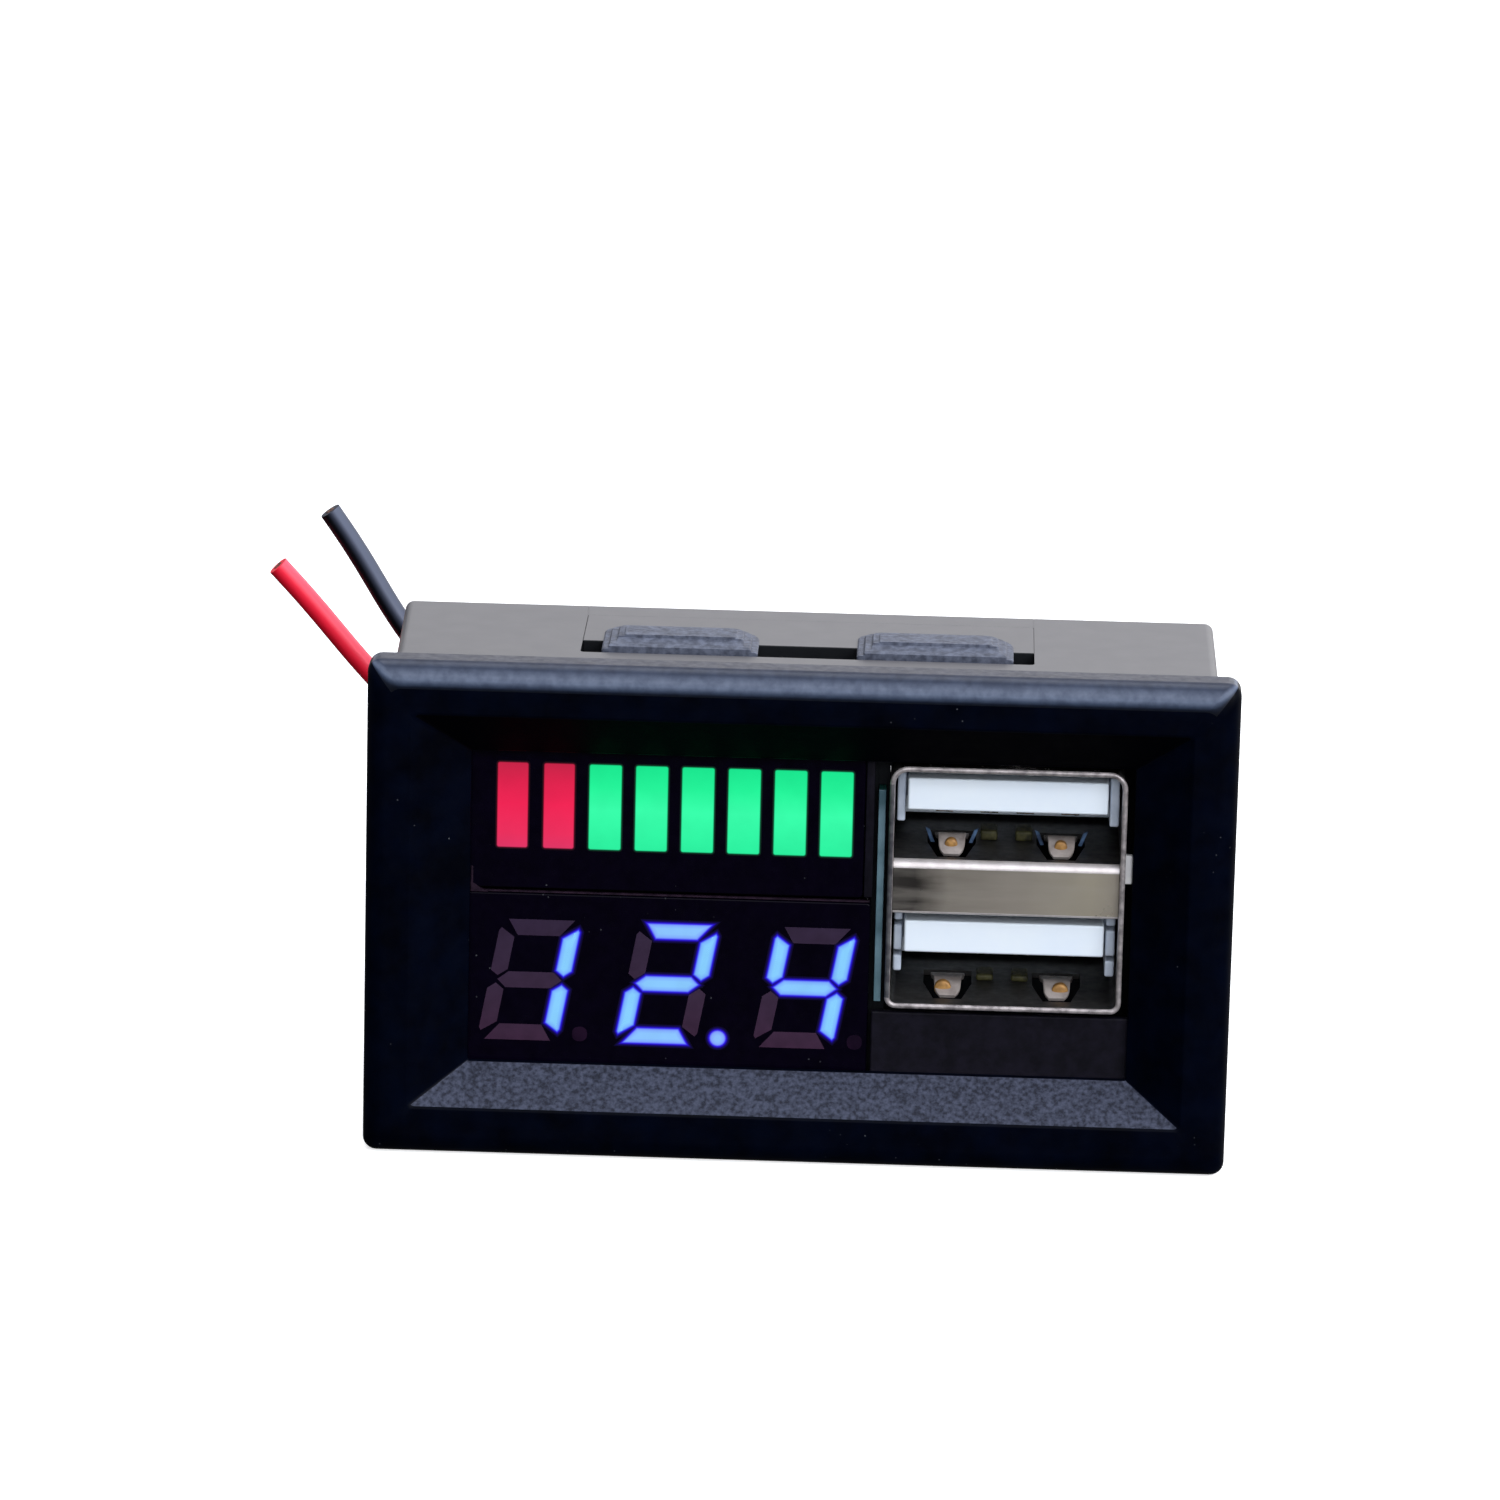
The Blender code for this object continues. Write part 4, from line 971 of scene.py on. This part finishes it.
# ---------------------------------------------------------------- USB outlet
SHELL_X, SHELL_Z, SHELL_D, SHEET = (4.85, 18.0), (-5.4, 8.5), (2.0, 14.2), 0.3
PORT_MID, PORT_FLOOR, PORT_TOP, PORT_PITCH = 11.4, 3.08, 8.2, 8.18
TONGUE_X, TONGUE_Z = (5.85, 16.95), (5.8, 7.62)
SPRING_X = 3.05


def leaf_slot(floor):
    """Openings round the retention leaves: narrow in front, wider behind."""
    tool = Shape()
    for s in (-1, 1):
        x = PORT_MID + s * SPRING_X
        tool.prism([(x - 0.78, 3.3), (x + 0.78, 3.3), (x + 1.35, 6.4), (x + 1.35, 9.0),
                    (x - 1.35, 9.0), (x - 1.35, 6.4)], "h", (floor - 1, floor + 0.35))
    return tool


def usb_shell():
    rings = []
    edge = 0.14

    def ring(d, inset):
        lo, hi = max(0.62 - inset, 0.2), max(1.02 - inset, 0.35)
        rings.append([(u, d, v) for u, v in rounded((SHELL_X[0] + inset, SHELL_X[1] - inset),
                                                    (SHELL_Z[0] + inset, SHELL_Z[1] - inset), (lo, hi), 7)])

    ring(SHELL_D[1], 0.0)
    for i in range(5):
        a = math.pi / 2 * i / 4
        ring(SHELL_D[0] + edge * (1 - math.sin(a)), edge * (1 - math.cos(a)))
    for i in range(4, -1, -1):
        a = math.pi / 2 * i / 4
        ring(SHELL_D[0] + edge * (1 - math.sin(a)), SHEET - edge * (1 - math.cos(a)))
    ring(SHELL_D[1], SHEET)
    shape = Shape().loft(rings, 0, loop=True)
    obj = shape.object("usb_shell_sheet", [NICKEL, SHADED_NICKEL, EDGE_METAL, EDGE_SHADED], weighted=False)
    carve(obj, leaf_slot(PORT_FLOOR - PORT_PITCH))
    low, high = SHELL_X[0] + SHEET - 0.03, SHELL_X[1] - SHEET + 0.03
    # painted shade: the left part of the front rim is darker than the rest, and the left wall and the inside take the
    # dark nickel
    paint(obj, lambda x, d, h: 3 if d < 2.25 and x < low and -4.4 < h < 7.2 else 2 if d < 2.25 else 1 if x < low or
          (x <= high and SHELL_Z[0] + 0.03 <= h <= SHELL_Z[1] - 0.1) else 0)
    shade(obj, 34)
    return put(obj, "nickel_steel", "usb_shell")


usb_shell()


def usb_divider():
    roof = PORT_TOP - PORT_PITCH
    big = [(2.35 + 0.45 * (1 - math.sin(a)), PORT_FLOOR - 0.45 * (1 - math.cos(a)))
           for a in np.linspace(0, math.pi / 2, 9)]
    small = [(2.35 + 0.16 * (1 - math.cos(a)), roof + 0.16 * (1 - math.sin(a)))
             for a in np.linspace(0, math.pi / 2, 5)]
    outline = ([(13.9, PORT_FLOOR)] + big + small
               + [(13.9, roof), (13.9, roof + SHEET), (2.65, roof + SHEET),
                  (2.65, PORT_FLOOR - 0.5), (2.85, PORT_FLOOR - SHEET), (13.9, PORT_FLOOR - SHEET)])
    x0, x1 = SHELL_X[0] + 0.32, SHELL_X[1] - 0.32
    shape = Shape().prism(outline, "x", (x0, x1), 0)
    obj = shape.object("usb_divider_sheet", [NICKEL_BAND, SHADED_NICKEL, BEND_HIGHLIGHT], weighted=False)
    carve(obj, leaf_slot(PORT_FLOOR))
    # painted shade behind the plate's front, painted highlight on its bends
    paint(obj, lambda x, d, h: 1 if d > 2.86 else 2 if h > PORT_FLOOR - 0.46 or h < roof + 0.14 else 0)
    shade(obj, 50)
    put(obj, "nickel_steel", "usb_divider")
    tab = Shape().box((SHELL_X[1] - 0.2, SHELL_X[1] + 0.40), (2.75, 3.25), (1.95, 3.60), 0.09)
    put(tab.object("divider_tab", [TAB]), "nickel_steel")


usb_divider()


# a black plate of painted shade closes the outlet behind the tongues
cap = Shape().box((SHELL_X[0] + 0.32, SHELL_X[1] - 0.32), (13.0, 14.15), (SHELL_Z[0] + 0.32, SHELL_Z[1] - 0.32), 0.12)
put(cap.object("outlet_shade_plate", [INSIDE]), "black_abs")


def insulator(name, node, drop, nibs):
    low, top = TONGUE_Z[0] - drop, TONGUE_Z[1] - drop
    shape = Shape()
    shape.box(TONGUE_X, (3.0, 11.9), (low, top), 0.13, mat=0)
    shape.box((SHELL_X[0] + 0.75, SHELL_X[1] - 0.75), (11.5, 13.9),
              (PORT_FLOOR + 0.3 - drop, PORT_TOP - 0.3 - drop), 0.15, mat=0)
    for z0, z1 in nibs:
        shape.box((SHELL_X[0] + 0.42, TONGUE_X[0] - 0.12), (3.6, 11.8), (z0, z1), 0.12, mat=1)
        shape.box((TONGUE_X[1] + 0.10, SHELL_X[1] - 0.42), (3.6, 11.8), (z0, z1), 0.12, mat=1)
    # a web behind joins the nibs to the tongue
    shape.box((SHELL_X[0] + 0.5, TONGUE_X[0] + 0.3), (5.6, 11.8), (low + 0.1, top - 0.1), 0.1, mat=1)
    shape.box((TONGUE_X[1] - 0.3, SHELL_X[1] - 0.5), (5.6, 11.8), (low + 0.1, top - 0.1), 0.1, mat=1)
    obj = shape.object(name, [WHITE, WHITE_SHADED])
    return put(obj, "white_insulator", node)


insulator("upper_socket_tongue", "upper_insulator", 0.0, [(4.98, 7.75)])
insulator("lower_socket_tongue", "lower_insulator", PORT_PITCH,
          [(-0.72, -0.1), (-2.46, -0.98), (-3.66, -2.74)])


def contact(name, node, x, drop, body):
    low = TONGUE_Z[0] - drop
    path = eased([(4.15, low + 0.35), (4.8, low - 0.35), (5.8, low - 0.62), (7.4, low - 0.3),
                  (9.3, low + 0.25), (11.0, low + 0.45)], 25)
    shape = Shape().strap(path, [0.42] + [0.5] * 24, 0.2, PORT_MID + x)
    put(shape.object(name, [GOLD], 40), "gold_contact", node, body=body)


def spring(name, node, side, floor):
    x = PORT_MID + side * SPRING_X
    mid = floor - SHEET / 2
    crest = 0.85 if floor > 0 else 0.70
    path = eased([(3.85, mid + 0.12), (4.5, mid + 0.73 * crest), (5.3, mid + crest),
                  (6.6, mid + 0.59 * crest), (7.8, mid + 0.1), (8.65, mid)], 25)
    halves = [0.44, 0.60, 0.68] + list(np.linspace(0.72, 0.95, 22))
    shape = Shape().strap(path, halves, 0.22, x)
    # the pressed dimple at the crest, its gold a painted reflection of the gold contacts
    wide, shift, rise = (0.36, -0.03, 0.60) if floor > 0 else (0.47, -0.26 if side < 0 else 0.18, 0.44)
    dome = [(-math.sin(a) * 0.13, wide * math.cos(a) + 0.001) for a in np.linspace(0, math.pi / 2, 7)]
    shape.lathe([(0.35, wide)] + dome, (x + shift, 4.28, mid + rise), "d", 20, 1)
    put(shape.object(name, [LEAF, DIMPLE_REFLECTION], 40), "nickel_steel", node, body=node)


# folded tails of the middle blades, low down behind the leaves; their dim olive gold is a painted glint
tails = Shape()
for drop, rise in ((0.0, 0.62), (PORT_PITCH, 0.42)):
    for x in (-0.98, 0.98):
        tails.box((PORT_MID + x - 0.48, PORT_MID + x + 0.48), (6.9, 8.6),
                  (PORT_FLOOR - drop + 0.03, PORT_FLOOR - drop + rise), 0.14)
put(tails.object("contact_tails", [TAIL_GLINT]), "gold_contact")
# the upturned edges of the upper leaves' openings, with a painted bluish glint
flaps = Shape()
for side in (-1, 1):
    for way in (-1, 1):
        outline = [(PORT_MID + side * SPRING_X + way * u, PORT_FLOOR + v)
                   for u, v in ((0.96, 0.03), (1.16, 0.03), (1.48, 0.86), (1.24, 0.76))]
        flaps.prism(outline, "d", (6.3, 6.5))
put(flaps.object("opening_edges", [EDGE_GLINT]), "nickel_steel")

for word, drop in (("upper", 0.0), ("lower", PORT_PITCH)):
    for i, x in enumerate((-3.5, -1.0, 1.0, 3.5)):
        contact(f"{word}_blade_{i + 1}", f"{word}_contact_{i + 1}", x, drop, f"{word}_contacts")
    spring(f"{word}_left_leaf", f"{word}_left_spring", -1, PORT_FLOOR - drop)
    spring(f"{word}_right_leaf", f"{word}_right_spring", 1, PORT_FLOOR - drop)


# ---------------------------------------------------------------- boards and parts
def refined(node, name, edge, materials, slot, pick=None, segments=2, angle=35):
    """A CAD piece with its edges rounded; pick(x, d, h) gives a face's finish."""
    source = frame["nodes"][node]
    bm = bmesh.new()
    bm.from_mesh(source.data)
    bmesh.ops.remove_doubles(bm, verts=bm.verts, dist=2e-7)
    bmesh.ops.dissolve_limit(bm, angle_limit=math.radians(1), verts=bm.verts, edges=bm.edges)
    sharp = [e for e in bm.edges if len(e.link_faces) == 2 and e.calc_face_angle(0) > math.radians(30)]
    bmesh.ops.bevel(bm, geom=sharp, offset=edge * MM, segments=segments, profile=0.5,
                    affect="EDGES", clamp_overlap=True)
    bmesh.ops.recalc_face_normals(bm, faces=bm.faces)
    for face in bm.faces:
        c = face.calc_center_median()
        x, d, h = c.x / MM, c.y / MM + DEPTH / 2, c.z / MM - HEIGHT / 2
        face.material_index = pick(x, d, h) if pick else 0
    mesh = bpy.data.meshes.new(name)
    bm.to_mesh(mesh)
    bm.free()
    for mat in materials:
        mesh.materials.append(mat)
    obj = bpy.data.objects.new(name, mesh)
    bpy.context.scene.collection.objects.link(obj)
    shade(obj, angle)
    return put(obj, slot, node, body=source["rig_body"])


BACK = 10.45
refined("usb_board", "upright_board", 0.05, [BOARD, BOARD_EDGE], "board_green",
        lambda x, d, h: 1 if d < 3.06 else 0)
refined("display_board", "main_board", 0.05, [BOARD, BOARD_EDGE], "board_green")
if "outlet_board" in frame["nodes"]:
    refined("outlet_board", "outlet_board_shown", 0.05, [BOARD, BOARD_EDGE], "board_green")
for node in ("bar_led_board", "digit_led_board"):
    refined(node, node + "_shown", 0.04, [BOARD, SOLDER, IVORY], "board_green",
            lambda x, d, h: 1 if d > 7.95 else 2 if d < 6.9 else 0)


def legs(box_low, box_high):
    """Finish 1 outside a chip's body, 0 on it."""
    def pick(x, d, h):
        inside = all(a - 0.01 <= v <= b + 0.01 for v, a, b in zip((x, d, h), box_low, box_high))
        return 0 if inside else 1
    return pick


def chip(node, x, z, size, body_mat=CHIP, slot="chip_black", edge=0.06):
    w, h, t = size
    refined(node, node + "_shown", edge, [body_mat, SOLDER], slot,
            legs((x - w / 2, BACK + 0.15, z - h / 2), (x + w / 2, BACK + 0.15 + t, z + h / 2)))


chip("microcontroller", -7.4, 5.9, (7.2, 4.4, 1.3))
chip("voltage_regulator", -12.6, -5.0, (4.5, 2.5, 1.5))
chip("protection_diode", -7.2, -4.6, (4.2, 2.6, 2.0))
chip("sense_resistor", -1.6, -3.4, (2.0, 1.25, 0.5), slot="chip_black", edge=0.04)
chip("filter_capacitor", -1.6, -5.8, (2.0, 1.25, 0.8), CERAMIC, "ceramic", 0.05)
refined("trimmer_base", "trimmer_body", 0.1, [IVORY], "ivory_plastic")
refined("trimmer_rotor", "trimmer_screw", 0.06, [CAN], "nickel_steel")
refined("board_link", "pin_block", 0.08, [CHIP, SOLDER], "chip_black",
        lambda x, d, h: 1 if x > 3.11 else 0)
for node, mat, slot in (("buck_converter", CHIP, "chip_black"), ("schottky_diode", CHIP, "chip_black"),
                        ("output_capacitor", CERAMIC, "ceramic")):
    low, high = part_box(node)
    z0, z1 = low.z / MM - HEIGHT / 2, high.z / MM - HEIGHT / 2
    refined(node, node + "_shown", 0.06, [mat, SOLDER], slot,
            lambda x, d, h: 1 if x > 3.91 else 0)

can = Shape()
profile = [(0.45, 2.2), (0.55, 2.46), (0.9, 2.5), (1.35, 2.5), (1.5, 2.40), (1.62, 2.36), (1.74, 2.40),
           (1.9, 2.5), (5.25, 2.5), (5.42, 2.46), (5.5, 2.36), (5.5, 2.25), (5.44, 2.2)]
can.lathe(profile, (-14.2, BACK, 6.9), "d", 48, 0)
can.box((-16.8, -11.6), (BACK, BACK + 0.6), (4.3, 9.5), 0.1, corner=0.6, mat=1)
half_moon = [(-14.2 + 2.1 * math.cos(a), 6.9 + 2.1 * math.sin(a))
             for a in np.linspace(math.radians(120), math.radians(240), 17)]
can.prism(half_moon, "d", (BACK + 5.40, BACK + 5.47), 1)
put(can.object("can_capacitor", [CAN, CHIP], 30), "capacitor_can", "input_capacitor")

coil = Shape()
cx = 2.2
coil.lathe([(-1.6, 2.0), (-1.5, 2.22), (-1.4, 2.3), (-0.95, 2.3), (-0.85, 2.25), (-0.8, 1.9)],
           (cx, 15.6, 3.4), "x", 40, 0)
rows = []
for i in range(6):
    base = -0.85 + i * 0.3
    rows += [(base + 0.3 * k / 6, 1.86 + 0.14 * math.sin(math.pi * k / 6)) for k in range(6)]
coil.lathe(rows + [(0.95, 1.86)], (cx, 15.6, 3.4), "x", 40, 1)
coil.lathe([(0.9, 1.9), (0.92, 2.25), (1.0, 2.3), (1.3, 2.3), (1.4, 2.2)], (cx, 15.6, 3.4), "x", 40, 0)
coil.box((3.5, 4.0), (13.2, 18.0), (1.0, 5.8), 0.12, corner=0.5, mat=0)
put(coil.object("drum_inductor", [FERRITE, WINDING], 40), "ferrite", "power_inductor")

for word, x in (("positive", -18.2), ("negative", -15.5)):
    dome = [(0.05 + 0.7 * t, 1.1 - 0.46 * t ** 0.45) for t in np.linspace(0, 1, 9)]
    shape = Shape().lathe([(0.05, 0.9)] + dome + [(0.80, 0.40)], (x, BACK, -2.2), "d", 28)
    put(shape.object(f"{word}_joint", [SOLDER], 60), "solder", f"{word}_solder")

# tracks, pads and vias on the rear of the main board, a few hundredths proud
tracks = Shape()
face = 10.2


def track(points, width=0.35, depth=0.03):
    for a, b in zip(points, points[1:]):
        a, b = np.array(a, float), np.array(b, float)
        way = (b - a) / np.linalg.norm(b - a)
        side = np.array([-way[1], way[0]]) * width / 2
        a, b = a - way * width * 0.3, b + way * width * 0.3
        outline = [tuple(a - side), tuple(b - side), tuple(b + side), tuple(a + side)]
        tracks.prism(outline, "d", (face - 0.05, face + depth), 0)


for i in range(6):
    x = -10.45 + i * 1.22
    track([(x, 8.9), (x, 9.5 + 0.08 * i), (x - 1.5 + i * 0.5, 9.9)], 0.3)
    track([(x, 2.9), (x, 1.9 - 0.3 * (i % 3)), (x + 1.2, 0.8 - 0.3 * (i % 3))], 0.3)
track([(-18.2, -3.4), (-18.2, -7.4), (-14.1, -7.4)], 1.0)
track([(-15.5, -3.3), (-13.4, -0.6), (-4.2, -0.4)], 0.8)
track([(-4.6, -4.6), (-3.1, -4.0), (-2.4, -3.4)], 0.6)
track([(-0.6, -3.4), (0.9, -2.9)], 0.6)
track([(-9.8, -4.6), (-11.2, -2.6)], 0.6)
track([(-0.6, -5.8), (0.8, -6.6), (0.8, -8.6)], 0.4)
put(tracks.object("board_tracks", [COPPER_TRACK], weighted=False), "board_green")

pads = Shape()
for x, z in ([(-16.0 + 2.54 * i, 2.3) for i in range(8)]
             + [(-13.85 + 2.54 * i, z) for z in (-8.3, -0.9) for i in range(6)]):
    pads.lathe([(-0.03, 0.62), (0.02, 0.62), (0.08, 0.5), (0.22, 0.40), (0.42, 0.36)], (x, face, z), "d", 18)
for i in range(3):
    pads.lathe([(-0.03, 0.30), (0.03, 0.30), (0.04, 0.2)], (-19.6, face, -6.5 + i * 1.3), "d", 14)
put(pads.object("pin_solder", [SOLDER], 50, weighted=False), "solder")


# ---------------------------------------------------------------- floor and light
def floor():
    bm = bmesh.new()
    size, count = 3.0, 12
    for i in range(count + 1):
        for j in range(count + 1):
            bm.verts.new((-size + 2 * size * i / count, -size + 2 * size * j / count, -0.00003))
    bm.verts.ensure_lookup_table()
    for i in range(count):
        for j in range(count):
            a = i * (count + 1) + j
            bm.faces.new([bm.verts[k] for k in (a, a + count + 1, a + count + 2, a + 1)])
    bmesh.ops.recalc_face_normals(bm, faces=bm.faces)
    mesh = bpy.data.meshes.new("floor")
    bm.to_mesh(mesh)
    bm.free()
    n = Nodes("floor_white")
    n.link(n.ramp(n.noise(4, 2), [(0.3, (0.79, 0.79, 0.79)), (0.7, (0.81, 0.81, 0.81))]),
           n.shader.inputs["Base Color"])
    n.shader.inputs["Roughness"].default_value = 0.9
    n.shader.inputs["Specular IOR Level"].default_value = 0.0
    n.shader.inputs["Emission Color"].default_value = (1, 1, 1, 1)
    n.shader.inputs["Emission Strength"].default_value = 0.62
    mesh.materials.append(n.mat)
    obj = bpy.data.objects.new("floor", mesh)
    bpy.context.scene.collection.objects.link(obj)
    obj.visible_glossy = False
    obj.visible_diffuse = False


floor()


def sky():
    world = bpy.data.worlds.new("studio")
    bpy.context.scene.world = world
    world.use_nodes = True
    tree = world.node_tree
    back = tree.nodes["Background"]
    coords = tree.nodes.new("ShaderNodeTexCoord")
    split = tree.nodes.new("ShaderNodeSeparateXYZ")
    tree.links.new(coords.outputs["Generated"], split.inputs[0])

    def ramp(stops):
        up = tree.nodes.new("ShaderNodeMapRange")
        up.inputs["From Min"].default_value = -1
        tree.links.new(split.outputs["Z"], up.inputs["Value"])
        node = tree.nodes.new("ShaderNodeValToRGB")
        elements = node.color_ramp.elements
        while len(elements) < len(stops):
            elements.new(0.5)
        for element, (z, colour) in zip(elements, stops):
            element.position = (z + 1) / 2
            element.color = (*colour, 1)
        tree.links.new(up.outputs["Result"], node.inputs["Fac"])
        return node.outputs["Color"]

    front = ramp([(-1.0, (0.10, 0.10, 0.10)), (-0.35, (0.07, 0.07, 0.07)), (-0.06, (0.07, 0.07, 0.08)),
                  (0.12, (0.85, 0.88, 0.95)), (0.34, (1.45, 1.47, 1.58)), (0.62, (1.50, 1.52, 1.62)),
                  (0.82, (1.25, 1.28, 1.42)), (1.0, (0.95, 1.0, 1.12))])
    rear = ramp([(-1.0, (0.10, 0.10, 0.10)), (-0.2, (0.30, 0.30, 0.30)), (0.0, (1.30, 1.29, 1.29)),
                 (0.30, (1.52, 1.50, 1.52)), (0.55, (1.05, 1.08, 1.16)), (1.0, (0.95, 1.0, 1.12))])
    turn = tree.nodes.new("ShaderNodeMapRange")
    turn.interpolation_type = "SMOOTHSTEP"
    turn.inputs["From Min"].default_value = -0.25
    turn.inputs["From Max"].default_value = 0.25
    tree.links.new(split.outputs["Y"], turn.inputs["Value"])
    mix = tree.nodes.new("ShaderNodeMix")
    mix.data_type = "RGBA"
    tree.links.new(turn.outputs["Result"], mix.inputs[0])
    tree.links.new(front, mix.inputs[6])
    tree.links.new(rear, mix.inputs[7])
    across = tree.nodes.new("ShaderNodeMapRange")
    across.interpolation_type = "SMOOTHSTEP"
    across.inputs["From Min"].default_value = -0.55
    across.inputs["From Max"].default_value = 0.25
    across.inputs["To Min"].default_value = 0.22
    across.inputs["To Max"].default_value = 1.0
    tree.links.new(split.outputs["X"], across.inputs["Value"])
    dim = tree.nodes.new("ShaderNodeVectorMath")
    dim.operation = "SCALE"
    tree.links.new(mix.outputs[2], dim.inputs[0])
    tree.links.new(across.outputs["Result"], dim.inputs["Scale"])
    tree.links.new(dim.outputs[0], back.inputs["Color"])
    back.inputs["Strength"].default_value = 1.0


sky()


def lamp(name, place, target, size, power, colour=(1, 1, 1), glossy=True):
    data = bpy.data.lights.new(name, "AREA")
    data.shape = "RECTANGLE"
    data.size, data.size_y = size
    data.energy = power
    data.color = colour
    obj = bpy.data.objects.new(name, data)
    obj.location = place
    obj.rotation_euler = (Vector(target) - Vector(place)).to_track_quat("-Z", "Y").to_euler()
    obj.visible_glossy = glossy
    bpy.context.scene.collection.objects.link(obj)
    return obj


lamp("front_fill", (0.05, -0.9, 0.28), (0, 0, 0.014), (0.7, 0.5), 3.4, (0.90, 0.95, 1.0), glossy=False)
lamp("overhead", (0.0, 0.03, 0.75), (0, 0, 0.014), (0.6, 0.4), 3.0, (0.92, 0.96, 1.0))
lamp("side_window", (0.62, -0.62, 0.60), (0, 0, 0.014), (0.45, 0.45), 4.0, (0.94, 0.97, 1.0))
